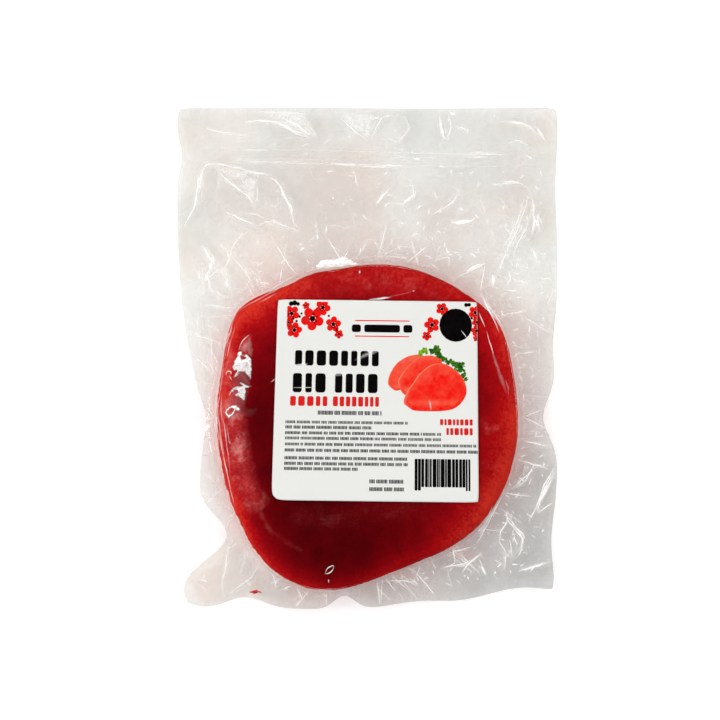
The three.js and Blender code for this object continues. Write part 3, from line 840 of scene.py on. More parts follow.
POCKET_GLARES = [  # strength, outline and gaps of each patch of painted glare where the film stands off what is under it
    (
        0.1,
        [
            (-46, 9.3), (-47.8, 7), (-50.1, 5.1), (-50.6, 3), (-47.8, 1.7), (-45.3, 0.2), (-44.9, 2.3),
            (-45.1, 4.4),
        ],
        [],
    ),
    (
        0.85,
        [
            (-50.6, 2.6), (-49.2, 2.6), (-47.8, 1.6), (-46.7, 0.7), (-45.7, -0.6), (-45.7, -3.4),
            (-45.6, -4.8), (-45.7, -7.8), (-46, -8.7), (-46.5, -7.8), (-47.2, -6.6), (-48.1, -5.7),
            (-49.2, -5.2), (-50.1, -5.3), (-50.8, -6), (-51.6, -7.1), (-52.5, -7.8), (-52.7, -7.4),
            (-52, -5.9), (-51.3, -5), (-51.6, -4.4), (-52.5, -4.8), (-53.1, -4.1), (-52.9, -2.7),
            (-52.4, -1.3), (-51.6, 0.5), (-51.3, 1.9),
        ],
        [
            [(-50.1, 0.7), (-48.7, 0.9), (-47.6, 0.1), (-48.1, -0.6), (-49.7, -0.4)],
            [(-49.6, 2.4), (-48.2, 2.4), (-48.2, 1.3), (-49.6, 1.3)],
        ],
    ),
    (
        0.03,
        [
            (-50.1, -5), (-48.1, -5.4), (-46.5, -7.6), (-45.8, -10), (-48, -10), (-51.2, -8.6),
            (-52.6, -7.6),
        ],
        [],
    ),
    (
        0.85,
        [
            (-50.4, -9.7), (-49.7, -9), (-48.1, -10.1), (-46.7, -11), (-45.7, -11), (-46.7, -11.5),
            (-47.8, -11.9), (-47.9, -13.6), (-47.8, -15), (-48.3, -16.3), (-48.8, -16.6),
            (-49.7, -15.7), (-50.6, -15), (-51.6, -15), (-52, -14.3), (-53, -13), (-53.6, -13.4),
            (-54.3, -15), (-54.4, -14.3), (-53.9, -12.9), (-52.9, -11.7), (-51.3, -11), (-49.9, -11.1),
            (-49.2, -10.8), (-49.7, -10.1),
        ],
        [
            [
                (-53.1, -13.4), (-52.5, -12.4), (-51.3, -12.7), (-50.8, -13.3), (-51.6, -14),
                (-52.4, -14),
            ],
        ],
    ),
    (0.035, [(-53.5, -12), (-50.6, -12), (-50.4, -14.6), (-53, -14.6)], []),
    (
        0.02,
        [(-54.3, -15), (-51.6, -15), (-48.8, -16.8), (-50.6, -18.5), (-53, -18.2), (-54.4, -16.8)],
        [],
    ),
    (
        0.03,
        [
            (-51.5, -2), (-45.6, -2), (-45.8, -10), (-47.5, -17), (-50, -24), (-54, -26.5),
            (-56.6, -22), (-53.3, -8),
        ],
        [],
    ),
    (
        0.9,
        [
            (-56.1, -21.4), (-55.7, -20), (-54.5, -18.9), (-52.9, -18.5), (-51.3, -19.1),
            (-50.1, -19.8), (-49.7, -20.5), (-50.6, -21), (-51.6, -20.5), (-52.4, -21.7),
            (-53.4, -22.8), (-54.1, -23.8), (-54.8, -23.5), (-55.5, -22.4),
        ],
        [
            [
                (-55.2, -21.4), (-54.6, -20.3), (-53.4, -19.8), (-52.5, -20), (-52.9, -20.8),
                (-53.9, -21.9), (-54.8, -22.1),
            ],
        ],
    ),
    (
        0.011,
        [(-49.7, -18.9), (-42.1, -19.8), (-44.2, -21.7), (-46.7, -23.5), (-50.6, -23.5), (-50.2, -21)],
        [],
    ),
    (
        0.95,
        [
            (-21.1, 36.4), (-20, 37.9), (-18.3, 39), (-15.8, 39.6), (-13.3, 39), (-11.6, 39.6),
            (-10.5, 40.1), (-9.4, 40.4), (-8.2, 39), (-6.6, 39.6), (-4.3, 37.9), (-2.9, 36.8),
            (-7.1, 36.6), (-12.7, 36.2), (-16.6, 35.8),
        ],
        [],
    ),
    (
        0.22,
        [
            (-43.5, 98.6), (-25, 98.6), (-23.4, 94.2), (-18.9, 88), (-25.6, 88.6), (-32.3, 91.9),
            (-36.8, 95), (-41.3, 95.8),
        ],
        [],
    ),
    (0.22, [(-12.4, 98.1), (3.5, 98.1), (3, 94.7), (0.7, 86.9), (-4.3, 90.8), (-9.9, 95)], []),
    (
        0.3,
        [
            (-63.1, 77.4), (-57.5, 76.5), (-48, 74.6), (-46.9, 73.4), (-50.8, 70.6), (-53.6, 71.2),
            (-58.6, 74),
        ],
        [],
    ),
    (
        0.25,
        [
            (-46.9, 73.4), (-44.1, 71.2), (-44.4, 62.2), (-44.1, 59.4), (-46.9, 62.2), (-49.7, 66.7),
            (-51.4, 69.5),
        ],
        [],
    ),
    (
        0.25,
        [
            (67.4, -60.7), (67.2, -58.4), (69.8, -52.5), (75.1, -43.2), (75.6, -46.7), (71.5, -55.4),
            (68.6, -61.9),
        ],
        [],
    ),
    (0.25, [(54, -77.7), (55.2, -77.7), (54.9, -86.2), (53.6, -86.2)], []),
]
PATCH_STEP = 0.25
WHITE_FROM = 0.5  # the strength from which a patch is a white one
FAINT_PATCH_FADE = 1.3  # how far in from its outline a patch comes to its strength
WHITE_PATCH_FADE = 0.45
POCKET_HIGHLIGHTS = [  # strength, width and the points along each bright edge of an air pocket, a painted highlight
    (0.6, 0.7, [(-45.9, 9.5), (-47.6, 8.3), (-49.2, 6.8), (-50.4, 4.1), (-50.7, 2.5)]),
    (1.0, 0.9, [(-52.7, -7.7), (-51.2, -6.6), (-49.8, -5.1)]),
    (0.8, 0.6, [(-55.5, -7.2), (-55.7, -5.6), (-54.2, -4.8), (-53.2, -5.9), (-54.5, -6.7)]),
    (0.7, 0.5, [(-54.5, -6.7), (-53.2, -8.8)]),
    (0.6, 0.7, [(-49, -10.1), (-47.1, -11.1), (-45.2, -10.9)]),
    (0.8, 0.8, [(-54.4, -15.2), (-53.4, -12.7), (-51.9, -11.4), (-50, -10.9)]),
    (1.0, 0.6, [(-16.9, -85.2), (-15.9, -82.9), (-13.2, -81.2), (-13.2, -82.6)]),
    (1.0, 0.6, [(-12.9, -81.6), (-14, -84), (-15.8, -85.1), (-17.1, -84.8)]),
    (0.7, 0.8, [(-15.3, -86.9), (-15.1, -88.6)]),
    (0.8, 0.7, [(43.9, 18.2), (45.2, 15), (46.4, 12)]),
    (0.9, 0.6, [(46.8, 11.2), (48.2, 6), (49.8, 1)]),
    (0.14, 1.8, [(49, 2.6), (50.6, -1.6), (52.4, -6.4)]),
    (0.10, 2.2, [(50.8, -3), (53, -8.6), (54.9, -14)]),
    (0.14, 0.8, [(54.2, -8), (55.6, -12), (55.4, -15)]),
    (0.9, 0.8, [(-3.2, 34.6), (-2.8, 33.9), (-3.3, 33.2)]),
    (0.5, 0.6, [(-52.4, 17.6), (-47, 21), (-41.9, 23.7), (-35.2, 27.4), (-31, 29.8)]),
    (0.9, 0.8, [(-46, 22.6), (-43.5, 24.8), (-37.9, 27.5), (-32.3, 30.9), (-26.7, 33.9)]),
    (0.9, 0.8, [(-29, 32.8), (-18.3, 36.2), (-12.7, 37), (-2.6, 37.8)]),
    (0.3, 0.5, [(-43, 21.6), (-38.6, 24), (-35.2, 25.9)]),
    (0.4, 0.6, [(-50.6, 18.5), (-52.9, 15), (-53.9, 10), (-55.9, 5.1), (-56.9, 0.1), (-57.6, -4.8)]),
    (0.4, 0.6, [(-57.4, -3), (-59.1, -13.6), (-59.9, -18.9), (-60.1, -23.1), (-59.6, -30)]),
    (0.25, 0.5, [(-53.4, 4.4), (-54.8, -1.3), (-56.2, -4.8), (-57.6, -10.4), (-58.3, -15.4)]),
    (0.25, 0.6, [(-58.3, -14), (-57.6, -21.7), (-56.2, -27), (-55, -33)]),
    (0.22, 0.5, [(-57.2, -11.8), (-57.6, -18.9), (-57, -28.4)]),
    (0.22, 0.6, [(-51.6, 14), (-54, 6), (-55, 2)]),
    (0.6, 0.6, [(-38.2, -9.6), (-37, -8.8), (-36, -7.6)]),
    (0.9, 1.3, [(0.2, 23), (5.2, 23.5), (9.6, 24)]),
    (0.15, 0.5, [(4.6, 23.5), (12.5, 24.9), (19, 26.6)]),
    (0.8, 0.6, [(17.6, 26.3), (18.6, 26.6)]),
    (1.0, 1.2, [(44.3, 26.4), (47.1, 20.2), (49.8, 15.3), (52, 9.7)]),
    (0.7, 0.6, [(46.4, 24.5), (49.5, 17.7)]),
    (0.55, 0.7, [(-58.6, -27.6), (-56.9, -37.6), (-55.2, -45.3), (-53.6, -53.1), (-51.9, -59.7)]),
    (0.5, 0.6, [(-56.9, -22), (-55.8, -30.3), (-54.7, -38.6), (-53.9, -47.5)]),
    (0.5, 0.6, [(-59.6, -19.8), (-59.2, -27.6), (-58, -34.8)]),
    (0.5, 0.8, [(-57.9, -4.1), (-59, -9.8), (-59.3, -17), (-58.6, -23.8), (-57.6, -31.5), (-56, -39.8)]),
    (0.5, 0.6, [(-55.6, -0.5), (-54.3, 4.6), (-53.5, 7.7)]),
    (0.45, 0.6, [(-57.2, 1), (-55.8, 7), (-53.6, 12)]),
    (0.4, 0.5, [(-55.8, -25), (-54.6, -31), (-54.2, -34), (-53.4, -31)]),
]


def inside_pouch(x, y):
    """Distance in from the pouch's edge."""
    left = POUCH_WIDTH / 2 - drawn_in("left", y) + x
    right = POUCH_WIDTH / 2 - drawn_in("right", y) - x
    bottom = POUCH_LENGTH / 2 - drawn_in("bottom", x) + y
    top = POUCH_LENGTH / 2 - y
    return min(left, right, bottom, top)


def add_crest(bm, rng, strength, width, points):
    """A sliver along a line, pointed at both ends, white with painted highlight along its uneven middle.
    """
    points = np.array(points, float)
    passed = np.concatenate([[0], np.cumsum(np.hypot(*np.diff(points, axis=0).T))])
    count = max(4, round(passed[-1] / CREST_STEP))
    share = np.linspace(0, 1, count + 1)
    line = np.stack([np.interp(share * passed[-1], passed, side) for side in points.T])
    for _ in range(3):  # rounds the line's corners
        line[:, 1:-1] = (line[:, :-2] + 2 * line[:, 1:-1] + line[:, 2:]) / 4
    line += 0.12 * np.stack([patchy(*line, 2.2, 56), patchy(*line, 2.2, 57)])
    ahead = np.gradient(line, axis=1)
    ahead /= np.hypot(*ahead) + 1e-9
    knots = max(3, round(passed[-1] / 2.5))
    uneven = np.interp(share, np.linspace(0, 1, knots), rng.uniform(0.3, 1, knots))
    ends = np.sin(share * math.pi).clip(0, 1) ** 0.6
    half = width / 2 * ends * (0.5 + 0.5 * uneven)
    white = bm.verts.layers.float["haze"]
    grid = bmesh.ops.create_grid(bm, x_segments=count, y_segments=2, size=1)
    strayed = []
    for vert in grid["verts"]:
        i, side = round((vert.co.x + 1) / 2 * count), vert.co.y
        vert[white] = strength * (0.3 + 0.7 * uneven[i]) * ends[i] * (1 - abs(side))
        vert.co.x = line[0, i] - side * half[i] * ahead[1, i]
        vert.co.y = line[1, i] + side * half[i] * ahead[0, i]
        if inside_pouch(vert.co.x, vert.co.y) < 0.7:
            strayed.append(vert)
    bmesh.ops.delete(bm, geom=strayed, context="VERTS")


def depth_inside(x, y, outline):
    """Distance in from a closed outline's nearest side, and less than 0 outside it."""
    nearest, inside = np.full_like(x, np.inf), np.zeros(x.shape, bool)
    for (ax, ay), (bx, by) in zip(outline, outline[1:] + outline[:1]):
        dx, dy = bx - ax, by - ay
        along = np.clip(((x - ax) * dx + (y - ay) * dy) / (dx**2 + dy**2), 0, 1)
        nearest = np.minimum(nearest, np.hypot(x - ax - along * dx, y - ay - along * dy))
        if dy:
            inside ^= ((ay > y) != (by > y)) & (x < ax + (y - ay) / dy * dx)
    return np.where(inside, nearest, -nearest)


def add_patch(bm, strength, outline, gaps):
    """A patch of fine cells, white with painted glare inside its ragged outline but for its gaps."""
    low, high = np.min(outline, axis=0) - 1, np.max(outline, axis=0) + 1
    across, along = np.ceil((high - low) / PATCH_STEP).astype(int)
    verts = bmesh.ops.create_grid(bm, x_segments=int(across), y_segments=int(along), size=1)["verts"]
    unit = np.array([vert.co.xy for vert in verts])
    x, y = (low + (unit + 1) / 2 * (high - low)).T
    ragged_x, ragged_y = x + 0.35 * patchy(x, y, 1.1, 60), y + 0.35 * patchy(x, y, 1.1, 64)
    depth = depth_inside(ragged_x, ragged_y, outline)
    for gap in gaps:
        depth = np.minimum(depth, -depth_inside(ragged_x, ragged_y, gap))
    fade = WHITE_PATCH_FADE if strength > WHITE_FROM else FAINT_PATCH_FADE
    white = strength * np.clip(depth / fade, 0, 1) * (0.85 + 0.4 * patchy(x, y, 1.1, 65))
    layer = bm.verts.layers.float["haze"]
    for vert, px, py, value in zip(verts, x, y, white):
        vert.co.x, vert.co.y, vert[layer] = px, py, value
    strayed = [vert for vert, inside in zip(verts, depth) if inside < -2 * PATCH_STEP]
    bmesh.ops.delete(bm, geom=strayed, context="VERTS")


def loose_crests(rng):
    """Short strokes of painted highlight, thickest round the steak and at the right, and few down the
    left.
    """
    crest_highlights = []
    while len(crest_highlights) < LOOSE_CRESTS:
        px, py = rng.uniform(-71, 71), rng.uniform(-92, 97)
        outside = outside_steak(np.array([px]), np.array([py]))[0]
        likely = math.exp(-outside / 26) * (1.0 if px > 5 else 0.5 if py > 20 or py < -62 else 0.12)
        if outside < 2 or inside_pouch(px, py) < 3 or rng.random() > likely:
            continue
        heading, length = rng.uniform(0, math.pi), rng.uniform(0.9, 4.2)
        sag = rng.uniform(-0.2, 0.2) * length / 2
        strength, width = rng.uniform(0.2, 1.0), rng.uniform(0.4, 1.1)
        crest_highlights.append((strength, width, stroke(px, py, heading, length, sag)))
    return crest_highlights


def glinting_film():
    """White where the value kept says so, and else quite clear. The white is painted highlight and glows a
    little.
    """
    material, at = new_finish("glinting_film")
    streaks = noise(at, 900, 2, 0.6)
    colour = streaks.colour((0.98, 0.965, 0.945, 1), (0.99, 0.985, 0.975, 1))
    # painted glow: the white gives off a little light of its own, to stand in for the highlight
    painted_glow = {"Emission Color": (1, 0.985, 0.96, 1), "Emission Strength": 0.2}
    white = principled(at, colour, 0.3, painted_glow)
    clear = at.node("ShaderNodeBsdfTransparent", {}, {"Color": (1, 1, 1, 1)})
    return shown_by(material, (kept(at, "haze") * (0.9 + streaks)).clamped().shader(clear, white))


def crest_place(x, y, _):
    return x, y, np.maximum(top_film_height(x, y) + creased(x, y), FILM_LOWEST) + CREST_LIFT


rng = np.random.default_rng(58)
bm = bmesh.new()
bm.verts.layers.float.new("haze")
# a painted highlight along the crest of every crease but the side folds
for height, width, points in every_crease[len(SIDE_FOLDS) :]:
    add_crest(bm, rng, min(1.0, 1.9 * abs(height)), 0.62 * width, points)
for strength, width, points in GLINTS + POCKET_HIGHLIGHTS + loose_crests(rng):
    add_crest(bm, rng, strength, width, points)
for pocket in POCKET_GLARES:
    add_patch(bm, *pocket)
highlight_finish = glinting_film()
crest_highlights = made("film_crest_highlights", bm, crest_place, highlight_finish)
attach(crest_highlights, "root")
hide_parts("pouch")


# A shred of tuna, a few millimetres long, that came off as the steak was sawn. The films hold
# it between them, near the pouch's lower left corner.

SHRED_X = -44.8
SHRED_Y = -93.2
SHRED_HALF_LENGTH = 2.4
SHRED_HALF_WIDTH = 0.42
SHRED_HALF_THICKNESS = 0.1
SHRED_BEND = 0.5


def shred_place(u, v, w):
    x = SHRED_X + SHRED_HALF_LENGTH * u + 0.25 * patchy(2 * u, v, 1, 53)
    y = SHRED_Y + SHRED_HALF_WIDTH * v - SHRED_BEND * u * u + 0.6 * patchy(4 * u, 2 * v, 1, 54)
    return x, y, margin_height(x, y) + creased(x, y) + SHRED_HALF_THICKNESS * w


bm = bmesh.new()
bmesh.ops.create_icosphere(bm, subdivisions=4, radius=1)
shred = made(
    "tuna_shred",
    bm,
    shred_place,
    raw_tuna(),
    bright=lambda x, y, z: 1.0 + 0.2 * patchy(x, y, 0.8, 55),
    frost=lambda x, y, z: np.zeros_like(x),
)
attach(shred, "root")
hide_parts("pouch")


# The label: a square sheet of white coated paper with an adhesive back. It is stuck on the top
# film over the steak, a little askew, and follows the film under it.

LABEL_WIDTH = 80
LABEL_LENGTH = 79
LABEL_X = 3.5
LABEL_Y = -16.8
LABEL_TURN = math.radians(-0.7)
LABEL_TAPER = 0.02  # how much the steak's crown draws in its upper edge, and lets out its lower one
LABEL_CORNER = 0.3
LABEL_ROUND_CORNER = 1.3  # the lower left one
LABEL_LIFT = 0.35  # over the film
PAPER_THICKNESS = 0.12
LABEL_CELLS = 90


def on_label(a, b, above):
    """A place on the label, in mm from its middle, to its place on the pouch."""
    a = a * (1 - LABEL_TAPER * b / (LABEL_LENGTH / 2))
    x = LABEL_X + a * math.cos(LABEL_TURN) - b * math.sin(LABEL_TURN)
    y = LABEL_Y + a * math.sin(LABEL_TURN) + b * math.cos(LABEL_TURN)
    return x, y, top_film_height(x, y) + LABEL_LIFT + 0.06 * patchy(x, y, 17, 61) + above


def label_place(u, v, _):
    corner = np.where((u < 0) & (v < 0), LABEL_ROUND_CORNER, LABEL_CORNER) * np.abs(u * v) ** 22
    a = u * LABEL_WIDTH / 2 - corner * np.sign(u)
    b = v * LABEL_LENGTH / 2 - corner * np.sign(v)
    return on_label(a, b, 0.0)


def coated_paper():
    material, at = new_finish("coated_paper")
    colour = noise(at, 30, 3, 0.5).colour((0.90, 0.91, 0.87, 1), (0.95, 0.95, 0.91, 1))
    tooth = relief(at, 0.1, 0.0002, noise(at, 700, 2, 0.5))
    return shown_by(material, principled(at, colour, 0.3, {"Normal": tooth}))


bm = bmesh.new()
bmesh.ops.create_grid(bm, x_segments=LABEL_CELLS, y_segments=LABEL_CELLS, size=1)
label = made("label_sheet", bm, label_place, coated_paper())
thick = label.modifiers.new("thickness", "SOLIDIFY")
thick.thickness = PAPER_THICKNESS * MM
thick.offset = -1
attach(label, "root")
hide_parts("label")


# The print on the label: flat fields of ink on the coated paper. There are black and red title
# rows, fine rows, a block of bars, blossoms, a plain dark disc, and a picture of three red
# slices with leaves.

PRINT_LIFT = 0.05  # of each ink over the one under it
PRINT_SCALE = 0.989  # of the places below, on the label
PRINT_LEFT = -36.5  # the blossoms are cut off here and at the top and right
PRINT_RIGHT = 40.3
PRINT_TOP = 39.2
TITLE_ROWS = [  # left, right, middle height and size of each row of blocks, and how many
    (-33.4, 1.4, 16.8, 6.0, 8),
    (-34.1, -19.6, 6.9, 7.6, 3),
    (-17.2, 1.1, 6.9, 7.6, 4),
]
BOLD_ROWS = [  # left, right, middle height and size
    (-35.8, -2.2, -10.75, 1.45),
    (-35.8, 18.0, -13.0, 1.35),
    (-25.0, -1.0, -15.1, 1.35),
    (-28.0, -8.0, -17.5, 1.35),
    (-35.8, 39.8, -19.9, 1.45),
    (-35.8, 12.0, -23.0, 1.45),
    (-35.8, 12.4, -25.2, 1.45),
    (-35.8, -7.0, -27.25, 1.45),
    (-2.3, 10.9, -32.0, 1.8),
    (-2.3, 10.9, -35.06, 1.8),
    (-23.1, 1.7, -4.9, 1.9),
]
LIGHT_ROWS = [  # the same
    (-35.8, 12.6, -8.7, 1.3),
    (18.6, 25.4, -13.0, 1.3),
    (-35.8, -25.6, -15.1, 1.3),
    (-0.4, 25.4, -15.1, 1.3),
    (-35.8, -28.6, -17.5, 1.3),
    (-7.4, 39.4, -17.5, 1.3),
]
RED_ROWS = [  # as the title rows
    (-34.7, -19.0, -0.35, 3.9, 5),
    (-17.6, 1.4, -0.35, 3.9, 8),
    (25.1, 38.5, -8.1, 2.4, 8),
    (27.6, 38.5, -11.8, 2.8, 6),
]
BARS_LEFT = 15.4
BARS_RIGHT = 37.5
BARS_LOW = -34.0
BARS_HIGH = -22.8
LONG_BARS = [(15.4, 17.6), (26.0, 27.2), (35.4, 37.5)]  # where the bars reach further down
LONG_BARS_LOW = -35.4
BLOSSOMS = [  # place and radius
    (-26.2, 32.4, 4.6),
    (-22.1, 36.9, 3.1),
    (-17.7, 30.3, 3.1),
    (-33.4, 27.8, 3.1),
    (-34.7, 34.4, 3.2),
    (-35.8, 30.8, 2.0),
    (-15.4, 26.4, 1.8),
    (-28.9, 37.6, 1.5),
    (22.1, 30.5, 3.1),
    (20.0, 26.1, 1.9),
    (26.2, 36.9, 2.5),
    (39.6, 35.6, 2.7),
    (40.2, 31.8, 2.0),
    (40.0, 28.4, 2.2),
    (40.0, 25.4, 1.4),
]
BUDS = [  # place and radius of the dark buds and twigs' ends between them
    (-35, 38.3, 0.9),
    (-33.6, 38.6, 1.0),
    (-32.2, 38.2, 0.7),
    (-34.0, 32.3, 0.5),
    (-32.6, 31.4, 0.45),
    (-31.4, 33.2, 0.5),
    (-30.7, 34.4, 0.4),
    (-19.6, 33.6, 0.45),
    (-16.4, 28.3, 0.4),
    (36, 38.6, 0.8),
    (37.2, 38.7, 0.7),
    (38.2, 33.4, 0.5),
]
DISC = (31.7, 30.5, 6.6)
ORNAMENT = [(-10.2, -6.6), (-5.2, 9.2), (10.6, 14.2)]  # ends of its three black bars, in one row
ORNAMENT_RULES = (-9, 13)  # ends of the red rules over and under them
ORNAMENT_MIDDLE = 28.8
ORNAMENT_SIZE = 3.0
RULES_APART = 3.1  # from the bars' middle
RULE_SIZE = 0.4
TICK_GAP = 0.2
HATCHED_GAP = 0.5
PETALS = 5
STAMENS = 6
SLICES = [  # how pale, middle and outline of each, from the back one to the front one
    (
        0.16,
        (11.5, 11),
        [
            (9, 4.4), (7.4, 4.3), (5.6, 5.5), (4.6, 7.0), (5, 9.9), (6.6, 13.1), (8.6, 15.5),
            (11.5, 17.4), (14.1, 18.3), (16.8, 18.6), (19, 17.7), (18, 12), (12, 5.5),
        ],
    ),
    (
        0.05,
        (17.5, 10),
        [
            (10.9, 2.9), (9.3, 5.2), (8.7, 8.1), (11, 12.1), (13.6, 15), (16.3, 17.2), (18.9, 18.1),
            (22, 18.3), (24.2, 17.5), (26, 16.2), (26, 10), (22, 4), (14, 2),
        ],
    ),
    (
        0.0,
        (24, 5),
        [
            (10.9, -0.3), (12.2, 3.9), (14.3, 6.9), (16.4, 10.1), (19, 12.7), (22.1, 14.7),
            (25.2, 15.3), (28.1, 14.7), (31.1, 12.9), (33.7, 10.5), (35.4, 7.4), (35.9, 4.2),
            (35.1, 1.6), (33.1, -1.1), (30.2, -2.9), (25.7, -3.7), (20.5, -3.8), (15.2, -3.6),
            (12.5, -2.1),
        ],
    ),
]
SLICE_CELLS = 30
LEAFLETS = 11  # in each tuft
LEAVES = [  # place and radius of each tuft
    (22.3, 20.1, 1.5),
    (24.2, 20.3, 1.9),
    (25.0, 18.4, 1.8),
    (26.8, 17.1, 1.4),
    (28.4, 15.8, 1.2),
    (30.0, 15.8, 1.2),
    (32.1, 14.4, 1.8),
    (33.8, 14.7, 1.4),
    (33.4, 12.7, 1.7),
    (34.9, 10.8, 1.4),
    (35.6, 8.9, 0.9),
    (17.6, 19.4, 1.4),
    (19.2, 20.3, 1.5),
]


def ink(name, first, second):
    """Print ink: two close colours of it, mixed in fine mottles."""
    material, at = new_finish(name)
    mottles = noise(at, 480, 3, 0.6).ramp(0.35, 0.65) * 0.12
    colour = (mottles + kept(at, "pale")).clamped().colour(first, second)
    return shown_by(material, principled(at, colour, 0.4, {"Specular IOR Level": 0.1}))


def add_block(bm, left, right, middle, size):
    """A plain block with rounded corners."""
    place = Matrix.Translation(((left + right) / 2, middle, 0))
    shape = Matrix.Diagonal(((right - left) / 2, size / 2, 1, 1))
    steps = max(1, round((right - left) / 2))
    grid = bmesh.ops.create_grid(bm, x_segments=steps, y_segments=1, size=1, matrix=place @ shape)
    corners = [vert for vert in grid["verts"] if len(vert.link_edges) == 2]
    bmesh.ops.bevel(
        bm,
        geom=corners,
        offset=min(right - left, size) * 0.28,
        segments=3,
        profile=0.5,
        affect="VERTICES",
        material=-1,
    )


def add_disc(bm, a, b, radius, way=0.0, out=0.0):
    """A disc of ink, some way out from a place, in radians and mm."""
    place = Matrix.Translation((a + out * math.cos(way), b + out * math.sin(way), 0))
    bmesh.ops.create_circle(bm, cap_ends=True, cap_tris=True, segments=20, radius=radius, matrix=place)


def add_hatched_row(bm, left, right, middle, size, rng):
    """A row of hatched patches of uneven length, each made of upright ticks of one height."""
    at = left
    while at < right:
        end = min(at + rng.uniform(1.6, 6), right)
        while at < end:
            width = rng.uniform(0.3, 0.42)
            place = Matrix.Translation((at + width / 2, middle, 0))
            shape = Matrix.Diagonal((width / 2, 0.42 * size, 1, 1))
            bmesh.ops.create_grid(bm, x_segments=1, y_segments=1, size=1, matrix=place @ shape)
            at += width + TICK_GAP
        at += HATCHED_GAP


def add_title_row(bm, left, right, middle, size, count, rng):
    """A row of blocks of uneven width."""
    shares = rng.uniform(0.8, 1.2, count)
    edges = left + np.concatenate([[0], np.cumsum(shares / shares.sum())]) * (right - left)
    gap = 0.3 * (right - left) / count
    for start, end in zip(edges, edges[1:]):
        add_block(bm, start + gap / 2, end - gap / 2, middle, size)


def plain(x, y, z):
    return np.zeros_like(x)


def as_drawn(u, v):
    return u, v


def printed(name, bm, finish, above, pale=plain, drawn=as_drawn):
    """One ink's part of the print. Drawn takes its vertices to their places on the label."""

    def place(u, v, _):
        a, b = drawn(u, v)
        return on_label(PRINT_SCALE * a, PRINT_SCALE * b, PRINT_LIFT * above)

    mark = made(name, bm, place, finish, pale=pale)
    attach(mark, "root")
    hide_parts("label")


rng = np.random.default_rng(71)
bm = bmesh.new()
for row in TITLE_ROWS:
    add_title_row(bm, *row, rng)
for row in BOLD_ROWS:
    add_hatched_row(bm, *row, rng)
at = BARS_LEFT
while at < BARS_RIGHT:
    width = min(rng.choice([0.4, 0.7, 0.7, 1.1, 1.5]), BARS_RIGHT - at)
    low = LONG_BARS_LOW if any(start <= at < end for start, end in LONG_BARS) else BARS_LOW
    add_block(bm, at, at + width, (low + BARS_HIGH) / 2, BARS_HIGH - low)
    at += width + rng.choice([0.2, 0.2, 0.36])
for a, b, radius in BUDS:
    add_disc(bm, a, b, radius)
add_disc(bm, *DISC)
for left, right in ORNAMENT:
    add_block(bm, left, right, ORNAMENT_MIDDLE, ORNAMENT_SIZE)
for a, b, radius in BLOSSOMS:
    add_disc(bm, a, b, 0.24 * radius)
    for way in rng.uniform(0, 2 * math.pi, STAMENS):
        add_disc(bm, a, b, 0.07 * radius, way, 0.42 * radius)
dark_ink = ink("black_ink", (0.0015, 0.001, 0.001, 1), (0.02, 0.016, 0.017, 1))
printed("black_print", bm, dark_ink, 2)

bm = bmesh.new()
for row in LIGHT_ROWS:
    add_hatched_row(bm, *row, rng)
printed("grey_print", bm, ink("grey_ink", (0.06, 0.05, 0.05, 1), (0.12, 0.11, 0.11, 1)), 2)

bm = bmesh.new()
for row in RED_ROWS:
    add_title_row(bm, *row, rng)
for above in (RULES_APART, -RULES_APART):
    add_block(bm, *ORNAMENT_RULES, ORNAMENT_MIDDLE + above, RULE_SIZE)
for a, b, radius in BLOSSOMS:
    turn = rng.uniform(0, 360 / PETALS)
    for petal in range(PETALS):
        way = math.radians(turn + 360 / PETALS * petal)
        add_disc(bm, a, b, 0.4 * radius, way, 0.62 * radius)
edges = [
    ((PRINT_LEFT, 0, 0), (-1, 0, 0)),
    ((PRINT_RIGHT, 0, 0), (1, 0, 0)),
    ((0, PRINT_TOP, 0), (0, 1, 0)),
]
for place, outwards in edges:
    everything = bm.verts[:] + bm.edges[:] + bm.faces[:]
    bmesh.ops.bisect_plane(bm, geom=everything, plane_co=place, plane_no=outwards, clear_outer=True)


def dull_red(x, y, z):
    """The rows are a duller red than the blossoms, which are dull in the middle and in streaks."""
    a, b = (x - LABEL_X) / PRINT_SCALE, (y - LABEL_Y) / PRINT_SCALE
    heart = np.max([np.exp(-np.hypot(a - p, b - q) / (0.45 * r)) for p, q, r in BLOSSOMS], axis=0)
    return np.where(b < 15, 0.6, np.clip(0.9 * heart + 0.3 * patchy(x, y, 0.8, 75), 0, 1))


printed("red_print", bm, ink("red_ink", (0.97, 0.0035, 0.002, 1), (0.66, 0.026, 0.023, 1)), 1, dull_red)


def slice_outline(middle, points):
    """A slice's radius round its middle, as directions and distances along a smooth closed curve."""
    corners = np.array(points, float)
    before, after, beyond = (np.roll(corners, shift, axis=0) for shift in (1, -1, -2))
    curve = []
    for t in np.linspace(0, 1, 10, endpoint=False):
        bend = (after - before) * t + (2 * before - 5 * corners + 4 * after - beyond) * t**2
        bend += (3 * corners - before - 3 * after + beyond) * t**3
        curve.append(corners + bend / 2)
    offsets = np.concatenate(curve) - middle
    directions = np.degrees(np.arctan2(offsets[:, 1], offsets[:, 0])) % 360
    order = np.argsort(directions)
    return directions[order], np.hypot(*offsets.T)[order]


